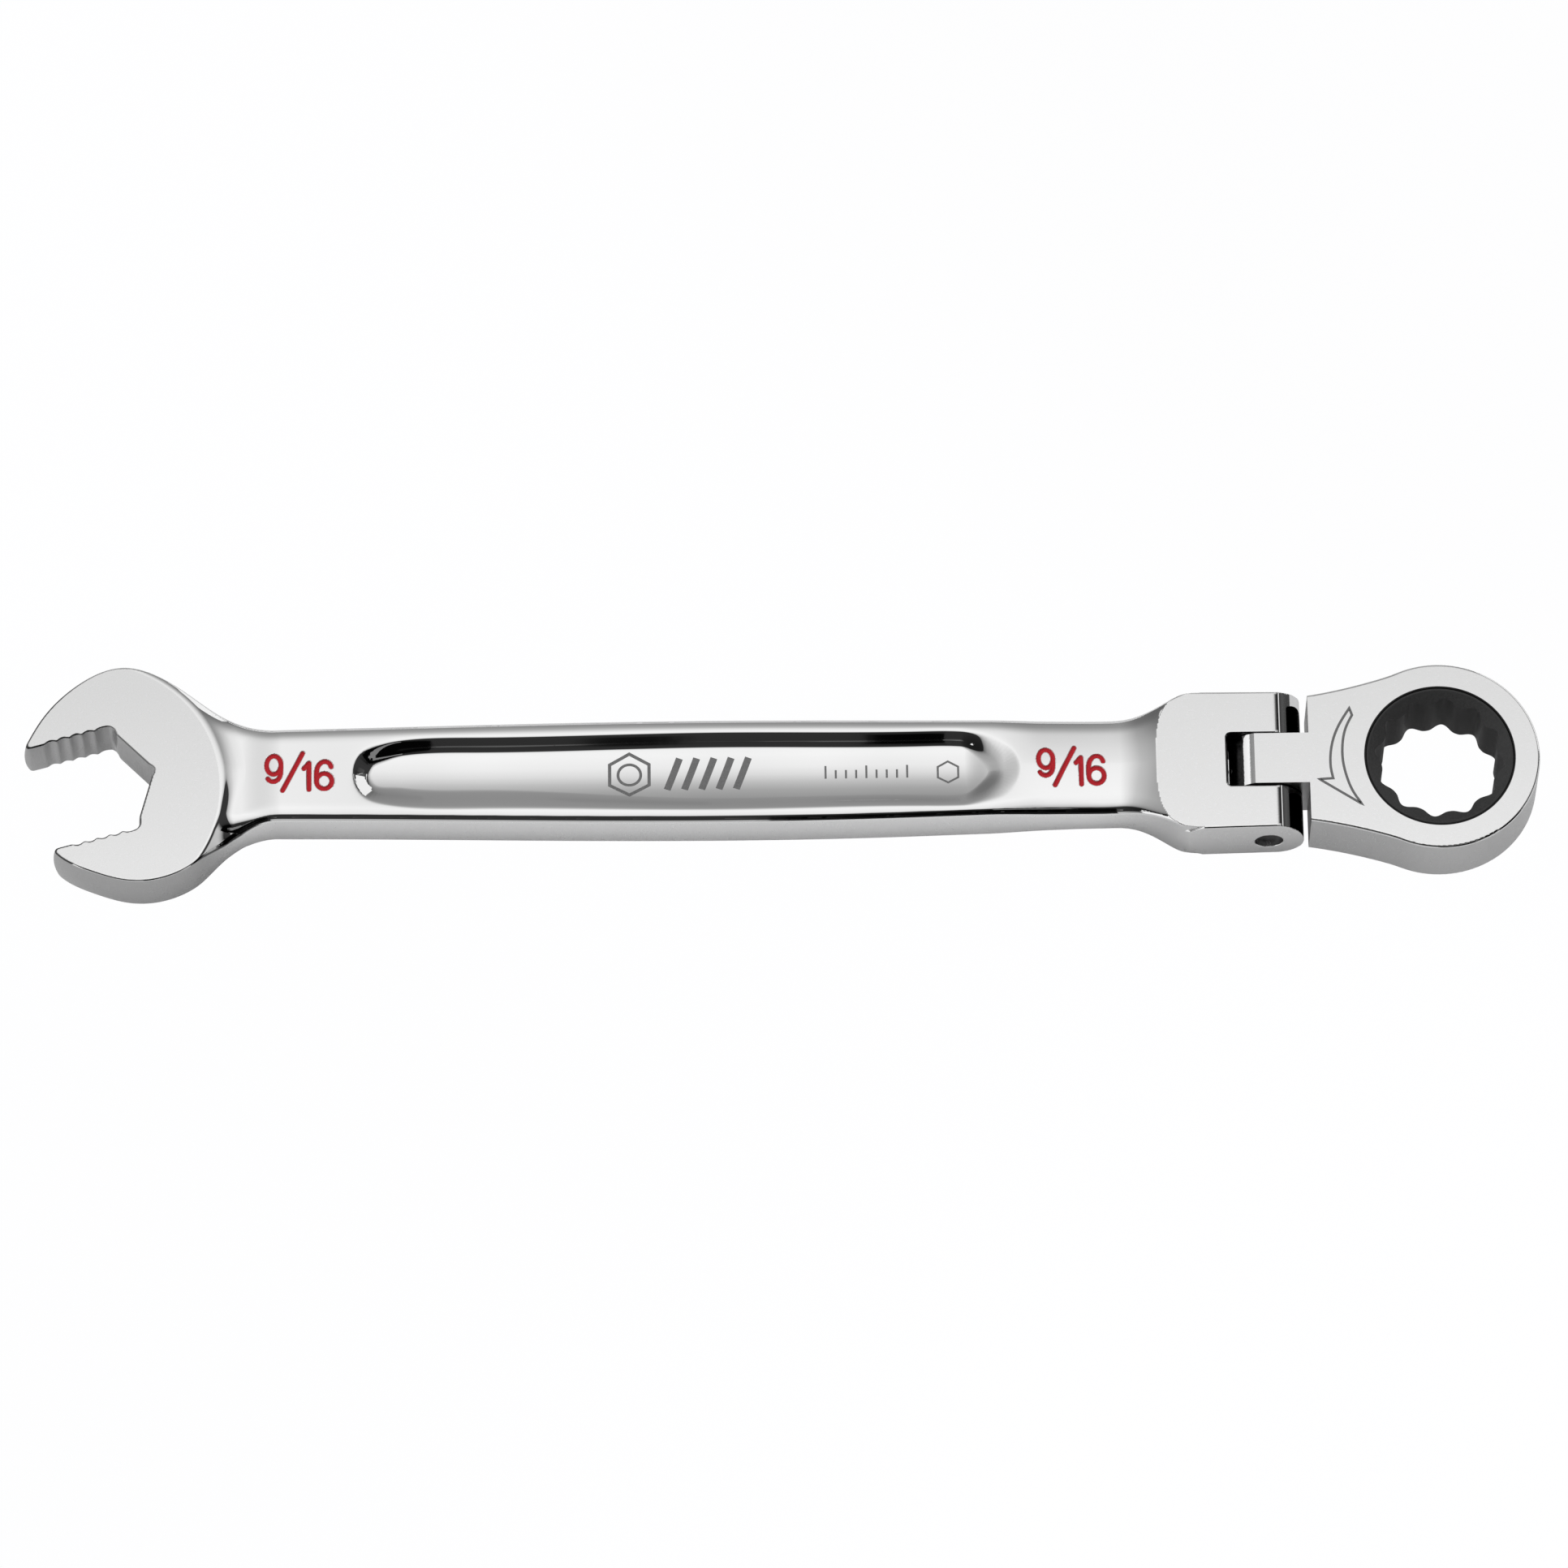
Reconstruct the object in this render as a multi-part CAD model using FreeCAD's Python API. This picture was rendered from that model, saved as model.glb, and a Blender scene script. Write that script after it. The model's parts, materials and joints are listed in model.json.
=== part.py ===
import FreeCAD, Part
import math
import os

from FreeCAD import Vector

# Flex-head ratcheting combination wrench for 9/16 in hexagons.
# Millimetres. The origin is on the drive axis, half way through the ratchet head.
# +X runs from the open end to the ratchet head, +Z rises out of the face with the arrow.

# Fastener and openings
ACROSS_FLATS = 14.29
OPENING = ACROSS_FLATS + 0.06

# Ratchet head
HEAD_RADIUS = 12.75
HEAD_HALF_THICKNESS = 4.5
HEAD_EDGE_RADIUS = 0.35
NECK_TANGENT_X = -5.0
NECK_POINTS = [(-8.3, 10.6), (-12.5, 9.5)]
SHOULDER = (-16.64, 8.7)

# Flex joint: pivot axis runs along Y
PIVOT_X = -21.9
PIN_RADIUS = 1.8
PIN_RECESS = 0.5
PIN_RUNNING_CLEARANCE = 0.04
TANG_HALF_WIDTH = 3.44
TANG_END_RADIUS = 4.8
SLOT_HALF_WIDTH = 3.64
SLOT_DEPTH = 5.2
SLOT_CORNER_RADIUS = 0.6
EAR_END_RADIUS = 4.45
CLEVIS_HALF_WIDTH = 9.25
CLEVIS_HALF_THICKNESS = 4.3
CLEVIS_START_X = -32.1
CLEVIS_FACE_START_X = -36.0

# Friction detent in the slot floor
BALL_RADIUS = 1.2
DETENT_BORE_RADIUS = 1.27
DETENT_BORE_END_X = -34.0
DETENT_WIRE = 0.35
DETENT_TURNS = 6

# Beam of the handle
BEAM_HALF_THICKNESS = 3.6
BEAM_EDGE_CHAMFER = 0.5
BEAM_START = (-148.0, 6.2)
BEAM_WIDEST = (-93.0, 6.8)
BEAM_END = (-43.0, 6.33)
CLEVIS_FLARE = [(-38.9, 6.6), (-35.4, 7.8)]
RAMP_LENGTH = 4.4

# Cutting and trimming tools reach this far, clear of the whole handle
CLEAR_LENGTH = 200
CLEAR_WIDTH = (-20, 20)
CLEAR_HEIGHT = (-6, 6)

# Pocket along each face of the beam
POCKET_ENDS_X = (-138.7, -53.0)
POCKET_HALF_WIDTH = 5.15
POCKET_DEPTH = 1.35
POCKET_WALL_RUN = 1.5

# Open end
JAW_ANGLE = 15.0
NUT_CENTRE = (-171.7, -1.2)
JAW_HALF_THICKNESS = 3.75
JAW_FACE_RADIUS = 16.6
JAW_STEP_RUN = 1.4
JAW_REACH = 12.0
UPPER_JAW = [(-180.2, 4.1), (-178.1, 8.0), (-174.1, 12.35), (-168.0, 15.05), (-161.7, 12.8), (-155.5, 8.4)]
LOWER_JAW = [(-177.4, -8.6), (-175.8, -10.5), (-171.7, -12.85), (-166.0, -14.3), (-159.9, -12.8), (-155.3, -9.2)]
CORNER_RELIEF_RADIUS = 0.9
THROAT_RELIEF_RADIUS = 0.8
GROOVE_PITCH = 1.65
GROOVE_COUNT = 5
GROOVE_FIRST = -3.5
GROOVE_RADIUS = 0.8
GROOVE_DEPTH = 0.25

# Ratchet mechanism
TEETH = 72
TOOTH_TIP_RADIUS = 10.5
TOOTH_DEPTH = 0.4
TOOTH_STEEP_SHARE = 0.13
BAND = (-2.7, 3.2)
GEAR_BORE_RADIUS = 10.56
LIP_OPENING_RADIUS = 9.42
HUB_RADIUS = 9.34
HUB = (-4.4, 4.4)
LEAD_IN_DEPTH = 0.9
LEAD_IN_MOUTH_RADIUS = 9.1
DRIVE_CORNER_RADIUS = 8.29
DRIVE_CORNER_ANGLE = -7.0
DRIVE_POINTS = 12
RING = (-3.7, -2.9)
RING_INNER_RADIUS = 9.5
RING_OUTER_RADIUS = 11.1
RING_GAP_ANGLE = 28.0
RUNNING_GAP = 0.05

# Pawls slide along X in a pocket in the neck
PAWL_POCKET_END_X = -14.0
PAWL_POCKET = (-2.65, 3.15)
PAWL_POCKET_HALF_WIDTH = 3.6
PAWL_HALF_WIDTH = 3.5
PAWL_TOOTHED_HALF_WIDTH = 2.4
PAWL_BACK_X = -13.2
PAWL_SHOULDER_X = -11.1
PAWL_HEIGHT = 2.8
PAWL_CENTRES_Z = (1.7, -1.2)
PAWL_FLANK_GAP = 0.15
SPRING_BORE_RADIUS = 0.9
SPRING_BORE_END_X = -18.0
SPRING_COIL_RADIUS = 0.6
SPRING_WIRE = 0.26
SPRING_TURNS = 6


def plan_edge(points, start_tangent=None, end_tangent=None):
    """A smooth edge in the XY plane through the points."""
    curve = Part.BSplineCurve()
    places = [Vector(x, y, 0) for x, y in points]
    if start_tangent and end_tangent:
        curve.interpolate(places, InitialTangent=Vector(*start_tangent), FinalTangent=Vector(*end_tangent))
    else:
        curve.interpolate(places)
    return curve.toShape()


def line(start, end):
    return Part.makeLine(Vector(start[0], start[1], 0), Vector(end[0], end[1], 0))


def prism(edges, low, high):
    """A solid with the closed outline of edges, from height low to height high."""
    face = Part.Face(Part.Wire(edges))
    face.translate(Vector(0, 0, low))
    return face.extrude(Vector(0, 0, high - low))


def polygon_prism(points, low, high):
    corners = [Vector(x, y, low) for x, y in points]
    face = Part.Face(Part.makePolygon(corners + corners[:1]))
    return face.extrude(Vector(0, 0, high - low))


def disc(radius, low, high, centre=(0, 0)):
    return Part.makeCylinder(radius, high - low, Vector(centre[0], centre[1], low))


def ring(inner, outer, low, high):
    return disc(outer, low, high).cut(disc(inner, low, high))


def block(x_range, y_range, z_range):
    size = [r[1] - r[0] for r in (x_range, y_range, z_range)]
    return Part.makeBox(size[0], size[1], size[2], Vector(x_range[0], y_range[0], z_range[0]))


def rod_along_y(radius, half_length, x, z=0):
    return Part.makeCylinder(radius, 2 * half_length, Vector(x, -half_length, z), Vector(0, 1, 0))


def rod_along_x(radius, start_x, end_x, z=0):
    return Part.makeCylinder(radius, end_x - start_x, Vector(start_x, 0, z), Vector(1, 0, 0))


def mirrored_z(shape):
    return shape.mirror(Vector(0, 0, 0), Vector(0, 0, 1))


def coil_spring(start_x, end_x, coil_radius, wire, turns, z):
    """A helical spring along X whose wire stays between start_x and end_x."""
    length = end_x - start_x - wire
    helix = Part.makeHelix(length / turns, length, coil_radius)
    section = Part.Wire(Part.makeCircle(wire / 2, Vector(coil_radius, 0, 0), Vector(0, 1, 0)))
    coil = Part.Wire(helix).makePipeShell([section], True, True)
    coil.rotate(Vector(0, 0, 0), Vector(0, 1, 0), 90)
    coil.translate(Vector(start_x + wire / 2, 0, z))
    return coil


# ---- handle ----

def beam_side(sign):
    """The three edges along one side of the beam, from the open end to the clevis, for sign 1 or -1."""
    start, widest, end = [(x, sign * y) for x, y in (BEAM_START, BEAM_WIDEST, BEAM_END)]
    flare = [(x, sign * y) for x, y in CLEVIS_FLARE]
    corner = (CLEVIS_START_X, sign * CLEVIS_HALF_WIDTH)
    ear_end = (PIVOT_X + EAR_END_RADIUS, sign * CLEVIS_HALF_WIDTH)
    return [
        plan_edge([start, widest, end], (1, sign * 0.012), (1, -sign * 0.012)),
        plan_edge([end] + flare + [corner], (1, 0.02 * sign), (0.9, 0.4 * sign)),
        line(corner, ear_end),
    ]


def jaw_side(points, sign):
    """The outer edge of one jaw, from its tip to the start of the beam."""
    return plan_edge(points + [(BEAM_START[0], sign * BEAM_START[1])])


def handle_blank(half_thickness):
    """The handle's outline as a slab, with no jaw opening and no slot."""
    ear_end = PIVOT_X + EAR_END_RADIUS
    edges = [
        jaw_side(UPPER_JAW, 1),
        jaw_side(LOWER_JAW, -1),
        line(UPPER_JAW[0], LOWER_JAW[0]),
        line((ear_end, CLEVIS_HALF_WIDTH), (ear_end, -CLEVIS_HALF_WIDTH)),
    ]
    edges += beam_side(1) + beam_side(-1)
    ordered = Part.sortEdges(edges)[0]
    return prism(ordered, -half_thickness, half_thickness)


def stepped_disc(centre, face_radius, foot_radius, face_z, foot_z):
    """A disc with flat faces at +-face_z whose rims slope down to the beam's faces at +-foot_z."""
    base = Vector(centre[0], centre[1], foot_z)
    rim = Part.makeCone(foot_radius, face_radius, face_z - foot_z, base)
    return rim.fuse([mirrored_z(rim), disc(foot_radius, -foot_z, foot_z, centre)])


def jaw_point(u, v):
    """A point given along (u) and across (v) the jaw, from the middle of the nut."""
    angle = math.radians(JAW_ANGLE)
    x = NUT_CENTRE[0] + u * math.cos(angle) - v * math.sin(angle)
    y = NUT_CENTRE[1] + u * math.sin(angle) + v * math.cos(angle)
    return (x, y)


def jaw_opening():
    """The open hexagon: two parallel jaw faces, two throat faces, corner reliefs and grip grooves."""
    depth = 2 * JAW_HALF_THICKNESS
    half = OPENING / 2
    corner_u = half / math.sqrt(3)
    apex_u = 2 * corner_u
    outline = [(-JAW_REACH, -half), (corner_u, -half), (apex_u, 0), (corner_u, half), (-JAW_REACH, half)]
    opening = polygon_prism([jaw_point(u, v) for u, v in outline], -depth, depth)
    tools = [disc(THROAT_RELIEF_RADIUS, -depth, depth, jaw_point(apex_u - 0.4, 0))]
    for side in (-1, 1):
        relief = jaw_point(corner_u + 0.1, side * (half + GROOVE_DEPTH - CORNER_RELIEF_RADIUS))
        tools.append(disc(CORNER_RELIEF_RADIUS, -depth, depth, relief))
        for i in range(GROOVE_COUNT):
            u = GROOVE_FIRST + i * GROOVE_PITCH
            v = side * (half + GROOVE_DEPTH - GROOVE_RADIUS)
            tools.append(disc(GROOVE_RADIUS, -depth, depth, jaw_point(u, v)))
    return opening.fuse(tools)


def pocket_outline(inset, z):
    """A long slot with round ends at height z, inset from the pocket's rim."""
    half = POCKET_HALF_WIDTH - inset
    first, last = POCKET_ENDS_X
    left, right = first + POCKET_HALF_WIDTH, last - POCKET_HALF_WIDTH
    top = Part.makeLine(Vector(left, half, z), Vector(right, half, z))
    bottom = Part.makeLine(Vector(right, -half, z), Vector(left, -half, z))
    right_end = Part.Arc(Vector(right, half, z), Vector(right + half, 0, z), Vector(right, -half, z))
    left_end = Part.Arc(Vector(left, -half, z), Vector(left - half, 0, z), Vector(left, half, z))
    return Part.Wire([top, right_end.toShape(), bottom, left_end.toShape()])


def pocket():
    """The sloping-walled pocket in the upper face."""
    rim = pocket_outline(0, BEAM_HALF_THICKNESS)
    floor = pocket_outline(POCKET_WALL_RUN, BEAM_HALF_THICKNESS - POCKET_DEPTH)
    return Part.makeLoft([rim, floor], True, True)


def beam_slab():
    """The thin slab of the whole handle, with chamfered rails along the beam."""
    slab = handle_blank(BEAM_HALF_THICKNESS)
    rails = []
    for edge in slab.Edges:
        box = edge.BoundBox
        along_beam = box.XMin < BEAM_START[0] + 1 and box.XMax > BEAM_END[0] - 1
        in_the_open = box.XMin > BEAM_START[0] - 1 and box.XMax < BEAM_END[0] + 1
        if along_beam and in_the_open and box.ZLength < 0.01:
            rails.append(edge)
    return slab.makeChamfer(BEAM_EDGE_CHAMFER, rails)


def make_handle():
    """One forging: open end, beam with a pocket on each face, and the clevis of the flex joint."""
    jaw_disc = stepped_disc(
        NUT_CENTRE, JAW_FACE_RADIUS, JAW_FACE_RADIUS + JAW_STEP_RUN, JAW_HALF_THICKNESS, BEAM_HALF_THICKNESS
    )
    open_end = handle_blank(JAW_HALF_THICKNESS).common(jaw_disc)

    sag = CLEVIS_START_X - CLEVIS_FACE_START_X
    arc_radius = (CLEVIS_HALF_WIDTH ** 2 + sag ** 2) / (2 * sag)
    arc_centre = (CLEVIS_FACE_START_X + arc_radius, 0)
    clevis_disc = stepped_disc(
        arc_centre, arc_radius, arc_radius + RAMP_LENGTH, CLEVIS_HALF_THICKNESS, BEAM_HALF_THICKNESS
    )
    ear_rounding = rod_along_y(EAR_END_RADIUS, CLEVIS_HALF_WIDTH + 1, PIVOT_X)
    clevis = handle_blank(CLEVIS_HALF_THICKNESS).common(clevis_disc)
    beam = beam_slab()
    behind_pivot = block((-CLEAR_LENGTH, PIVOT_X), CLEAR_WIDTH, CLEAR_HEIGHT)
    keep = behind_pivot.fuse(ear_rounding)

    handle = beam.fuse([open_end, clevis]).common(keep)
    slot_floor = PIVOT_X - SLOT_DEPTH
    slot = block((slot_floor, 0), (-SLOT_HALF_WIDTH, SLOT_HALF_WIDTH), CLEAR_HEIGHT)
    slot_edges = [e for e in slot.Edges if e.BoundBox.ZLength > 1 and e.BoundBox.XMax < slot_floor + 0.1]
    slot = slot.makeFillet(SLOT_CORNER_RADIUS, slot_edges)
    tools = [
        jaw_opening(),
        pocket(),
        mirrored_z(pocket()),
        slot,
        rod_along_y(PIN_RADIUS, CLEVIS_HALF_WIDTH + 1, PIVOT_X),
        rod_along_x(DETENT_BORE_RADIUS, DETENT_BORE_END_X, slot_floor + 1),
    ]
    return handle.cut(tools).removeSplitter()


# ---- flex joint ----

def make_pivot_pin():
    return rod_along_y(PIN_RADIUS, CLEVIS_HALF_WIDTH - PIN_RECESS, PIVOT_X)


def ball_centre_x():
    return PIVOT_X - TANG_END_RADIUS - 0.02 - BALL_RADIUS


def make_detent_ball():
    return Part.makeSphere(BALL_RADIUS, Vector(ball_centre_x(), 0, 0))


def make_detent_spring():
    front = ball_centre_x() - BALL_RADIUS - 0.03
    coil_radius = DETENT_BORE_RADIUS - 0.08 - DETENT_WIRE / 2
    return coil_spring(DETENT_BORE_END_X + 0.02, front, coil_radius, DETENT_WIRE, DETENT_TURNS, 0)


# ---- ratchet head ----

def head_blank():
    """Disc and neck of the ratchet head with rounded rims."""
    tangent_y = math.sqrt(HEAD_RADIUS ** 2 - NECK_TANGENT_X ** 2)
    slope = -NECK_TANGENT_X / tangent_y
    upper = [(NECK_TANGENT_X, tangent_y)] + NECK_POINTS + [SHOULDER]
    lower = [(x, -y) for x, y in upper]
    rim = Part.Arc(
        Vector(NECK_TANGENT_X, -tangent_y, 0), Vector(HEAD_RADIUS, 0, 0), Vector(NECK_TANGENT_X, tangent_y, 0)
    )
    edges = [
        rim.toShape(),
        plan_edge(upper, (-1, -slope), (-1, -0.16)),
        line(upper[-1], lower[-1]),
        plan_edge(lower, (-1, slope), (-1, 0.16)),
    ]
    blank = prism(Part.sortEdges(edges)[0], -HEAD_HALF_THICKNESS, HEAD_HALF_THICKNESS)
    rims = [e for e in blank.Edges if e.BoundBox.ZLength < 0.01 and e.BoundBox.XMax > SHOULDER[0] + 1]
    return blank.makeFillet(HEAD_EDGE_RADIUS, rims)


def tang():
    """The tongue between the clevis ears, round about the pivot at its end."""
    across = (-TANG_HALF_WIDTH, TANG_HALF_WIDTH)
    thick = (-HEAD_HALF_THICKNESS, HEAD_HALF_THICKNESS)
    shank = block((PIVOT_X, SHOULDER[0] + 1), across, thick)
    end = rod_along_y(TANG_END_RADIUS, TANG_HALF_WIDTH, PIVOT_X)
    return shank.fuse(end.common(block((PIVOT_X - 6, PIVOT_X + 6), across, thick)))


def make_ratchet_head():
    """Housing: gear bore closed by a lip above and a retaining-ring groove below, pawl pocket in the neck."""
    below = -HEAD_HALF_THICKNESS - 1
    above = HEAD_HALF_THICKNESS + 1
    pocket_x = (PAWL_POCKET_END_X, -TOOTH_TIP_RADIUS + 2)
    tools = [
        disc(GEAR_BORE_RADIUS, below, BAND[1] + RUNNING_GAP),
        disc(LIP_OPENING_RADIUS, 0, above),
        disc(RING_OUTER_RADIUS + RUNNING_GAP, RING[0] - RUNNING_GAP, RING[1] + RUNNING_GAP),
        block(pocket_x, (-PAWL_POCKET_HALF_WIDTH, PAWL_POCKET_HALF_WIDTH), PAWL_POCKET),
        rod_along_y(PIN_RADIUS + PIN_RUNNING_CLEARANCE, TANG_HALF_WIDTH + 1, PIVOT_X),
    ]
    for z in PAWL_CENTRES_Z:
        tools.append(rod_along_x(SPRING_BORE_RADIUS, SPRING_BORE_END_X, PAWL_POCKET_END_X + 1, z))
    return head_blank().fuse(tang()).cut(tools).removeSplitter()


def tooth_outline(radial_gap=0.0, turn=0.0):
    """Saw teeth: each rises steeply and then slopes back down, counter-clockwise."""
    pitch = 360.0 / TEETH
    tip = TOOTH_TIP_RADIUS + radial_gap
    root = tip - TOOTH_DEPTH
    points = []
    for i in range(TEETH):
        start = i * pitch + turn
        for radius, angle in ((root, start), (tip, start + TOOTH_STEEP_SHARE * pitch)):
            points.append((radius * math.cos(math.radians(angle)), radius * math.sin(math.radians(angle))))
    return points


def drive_hole():
    """The double hexagon with rounded points and rounded lands, as one closed curve."""
    land = OPENING / 2 / math.cos(math.radians(15))
    places = []
    samples = 8 * DRIVE_POINTS
    for i in range(samples):
        turn = 2 * math.pi * i / samples
        wave = (1 + math.cos(DRIVE_POINTS * turn)) / 2
        radius = land + (DRIVE_CORNER_RADIUS - land) * wave ** 1.3
        angle = turn + math.radians(DRIVE_CORNER_ANGLE)
        places.append(Vector(radius * math.cos(angle), radius * math.sin(angle), HUB[0] - 1))
    curve = Part.BSplineCurve()
    curve.interpolate(places, PeriodicFlag=True)
    face = Part.Face(Part.Wire([curve.toShape()]))
    return face.extrude(Vector(0, 0, HUB[1] - HUB[0] + 2))


def make_drive_gear():
    """Ring with 72 saw teeth outside and the 12-point drive hole inside, with a cone leading in from above."""
    band = polygon_prism(tooth_outline(), BAND[0], BAND[1])
    lead_in = Part.makeCone(
        OPENING / 2, LEAD_IN_MOUTH_RADIUS, LEAD_IN_DEPTH, Vector(0, 0, HUB[1] - LEAD_IN_DEPTH)
    )
    return band.fuse(disc(HUB_RADIUS, HUB[0], HUB[1])).cut([drive_hole(), lead_in])


def make_retaining_ring():
    """Open spring ring in the groove below the gear's teeth; its gap faces away from the neck."""
    washer = ring(RING_INNER_RADIUS, RING_OUTER_RADIUS, RING[0], RING[1])
    reach = 1.5 * RING_OUTER_RADIUS
    half_gap = math.radians(RING_GAP_ANGLE / 2)
    wedge = [(0, 0)] + [(reach * math.cos(a), reach * math.sin(a)) for a in (-half_gap, half_gap)]
    return washer.cut(polygon_prism(wedge, RING[0] - 1, RING[1] + 1))


def pawl_blank(centre_z):
    low, high = centre_z - PAWL_HEIGHT / 2, centre_z + PAWL_HEIGHT / 2
    body = block((PAWL_BACK_X, PAWL_SHOULDER_X), (-PAWL_HALF_WIDTH, PAWL_HALF_WIDTH), (low, high))
    nose_y = (-PAWL_TOOTHED_HALF_WIDTH, PAWL_TOOTHED_HALF_WIDTH)
    return body.fuse(block((PAWL_SHOULDER_X, -TOOTH_TIP_RADIUS + TOOTH_DEPTH + 0.2), nose_y, (low, high)))


def gear_clearance_tool(turn=0.0):
    """The gear's teeth, slightly enlarged, for cutting matching teeth into a pawl."""
    outline = tooth_outline(RUNNING_GAP, turn - PAWL_FLANK_GAP)
    return polygon_prism(outline, BAND[0] - 1, BAND[1] + 1)


def make_pawl_upper():
    """The pawl that is fully in mesh at rest."""
    return pawl_blank(PAWL_CENTRES_Z[0]).cut(gear_clearance_tool())


def make_pawl_lower():
    """The second pawl, half a tooth out of step, which rests half way up the teeth."""
    half_pitch_turn = 180.0 / TEETH
    own_teeth = gear_clearance_tool(half_pitch_turn)
    own_teeth.translate(Vector(-TOOTH_DEPTH / 2, 0, 0))
    blank = pawl_blank(PAWL_CENTRES_Z[1])
    blank.translate(Vector(-TOOTH_DEPTH / 2, 0, 0))
    return blank.cut([own_teeth, gear_clearance_tool()])


def make_pawl_spring(centre_z, pawl_back_x):
    return coil_spring(
        SPRING_BORE_END_X + 0.02, pawl_back_x - 0.03, SPRING_COIL_RADIUS, SPRING_WIRE, SPRING_TURNS, centre_z
    )


def check_and_export(name, shape):
    solids = shape.Solids
    if len(solids) != 1 or not solids[0].isValid():
        raise RuntimeError(f"{name}: {len(solids)} solids, valid {[s.isValid() for s in solids]}")
    solids[0].exportStep(f"parts/{name}.step")


os.makedirs("parts", exist_ok=True)
upper_z, lower_z = PAWL_CENTRES_Z
check_and_export("handle", make_handle())
check_and_export("pivot_pin", make_pivot_pin())
check_and_export("detent_ball", make_detent_ball())
check_and_export("detent_spring", make_detent_spring())
check_and_export("ratchet_head", make_ratchet_head())
check_and_export("drive_gear", make_drive_gear())
check_and_export("retaining_ring", make_retaining_ring())
check_and_export("pawl_upper", make_pawl_upper())
check_and_export("pawl_lower", make_pawl_lower())
check_and_export("pawl_spring_upper", make_pawl_spring(upper_z, PAWL_BACK_X))
check_and_export("pawl_spring_lower", make_pawl_spring(lower_z, PAWL_BACK_X - TOOTH_DEPTH / 2))
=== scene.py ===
import json
import math

import bpy
import numpy as np
from mathutils import Matrix, Vector

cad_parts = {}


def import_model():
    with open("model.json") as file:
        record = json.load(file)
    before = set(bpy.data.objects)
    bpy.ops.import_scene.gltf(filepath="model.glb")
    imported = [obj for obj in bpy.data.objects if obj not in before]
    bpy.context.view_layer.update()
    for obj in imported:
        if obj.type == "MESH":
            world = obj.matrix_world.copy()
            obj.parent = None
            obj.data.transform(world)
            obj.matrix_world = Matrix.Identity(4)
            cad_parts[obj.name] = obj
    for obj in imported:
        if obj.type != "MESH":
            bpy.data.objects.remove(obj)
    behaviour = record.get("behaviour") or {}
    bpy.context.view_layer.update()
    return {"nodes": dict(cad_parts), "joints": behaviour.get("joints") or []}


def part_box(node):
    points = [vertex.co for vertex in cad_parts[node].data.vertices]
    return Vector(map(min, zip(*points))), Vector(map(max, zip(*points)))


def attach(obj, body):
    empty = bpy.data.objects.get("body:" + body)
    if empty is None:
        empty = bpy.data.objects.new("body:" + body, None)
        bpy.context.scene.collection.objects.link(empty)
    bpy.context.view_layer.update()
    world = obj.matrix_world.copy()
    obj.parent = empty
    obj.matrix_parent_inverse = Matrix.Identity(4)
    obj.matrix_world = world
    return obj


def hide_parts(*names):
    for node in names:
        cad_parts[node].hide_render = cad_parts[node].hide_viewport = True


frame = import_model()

# The looks of the flex-head ratcheting wrench. Shapes are worked out in millimetres in the row frame
# (origin on the drive axis, +X towards the ratchet head, +Z up) and turned into metres when a mesh is made.
# A pair of numbers whose name ends in _X, _Y or _UPRIGHT is where a gradual change begins and where it ends.
MM = 0.001

PIVOT = [joint for joint in frame["joints"] if joint["name"] == "flex_pivot"][0]["pos_m"]
PIVOT_X = PIVOT[0] / MM
HANDLE_HIGH = np.array(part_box("handle")[1]) / MM
HEAD_LOW, HEAD_HIGH = [np.array(corner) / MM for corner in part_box("ratchet_head")]
PIN_LOW, PIN_HIGH = [np.array(corner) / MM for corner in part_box("pivot_pin")]
BALL_LOW, BALL_HIGH = [np.array(corner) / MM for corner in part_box("detent_ball")]

# Open end
JAW_ANGLE = math.radians(15)
NUT_CENTRE = (-171.7, -1.2)
OPENING_HALF = 14.35 / 2
JAW_FACE_CENTRE = (-173.07, -1.76)
JAW_FACE_RADIUS = 17.8
JAW_STEP_RUN = 2.3
JAW_STEP_RUN_FAR = 3.5
JAW_STEP_KNEE = 0.24
JAW_STEP_WIDENS_Y = (-4.5, 1.5)
OPEN_FACE_Z = 3.72
OPEN_FACE_TAPER = 0.012
UPPER_JAW = [
    (-180.3, 4.1), (-178.2, 8.05), (-174.1, 12.5),
    (-168.0, 15.2), (-161.6, 12.95), (-155.4, 8.6),
]
LOWER_JAW = [
    (-177.5, -8.6), (-175.9, -10.65), (-171.7, -13.0),
    (-166.0, -14.5), (-159.7, -13.0), (-155.1, -9.45),
]
JAW_MOUTH_REACH = 14
GROOVE_PITCH = 1.65
GROOVE_FIRST = -3.5
GROOVE_COUNT = 5
GROOVE_RADIUS = 0.8
GROOVE_DEPTH = 0.25
CORNER_RELIEF_RADIUS = 1.1
CORNER_RELIEF_INSET = 0.45
THROAT_RELIEF_RADIUS = 0.7
THROAT_RELIEF_INSET = 0.72
RELIEF_EDGE_RADIUS = 0.3
JAW_TIP_RADIUS = 0.8

# Beam and clevis; a crown or a fall may run on past its full run, up to OVERRUN times
BEAM_UPPER = [(-148.0, 6.4), (-93.0, 6.87), (-43.0, 6.3)]
BEAM_LOWER = [(-148.0, -6.1), (-110.0, -6.9), (-72.0, -7.05), (-43.0, -6.5)]
BEAM_END_SLOPE = 0.012
BEAM_OUTLINE_STEP = 2.0
CLEVIS_FLARE = [(-38.9, 6.6), (-35.4, 7.8)]
CLEVIS_FLARE_END = (0.9, 0.4)
CLEVIS_UPPER_CORNER = (-32.1, 9.4)
CLEVIS_LOWER_CORNER = (-32.1, -9.55)
PIN_RECESS = 0.5
CLEVIS_HALF_WIDTH = PIN_HIGH[1] + PIN_RECESS
CLEVIS_FACE_Z = HANDLE_HIGH[2]
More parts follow.
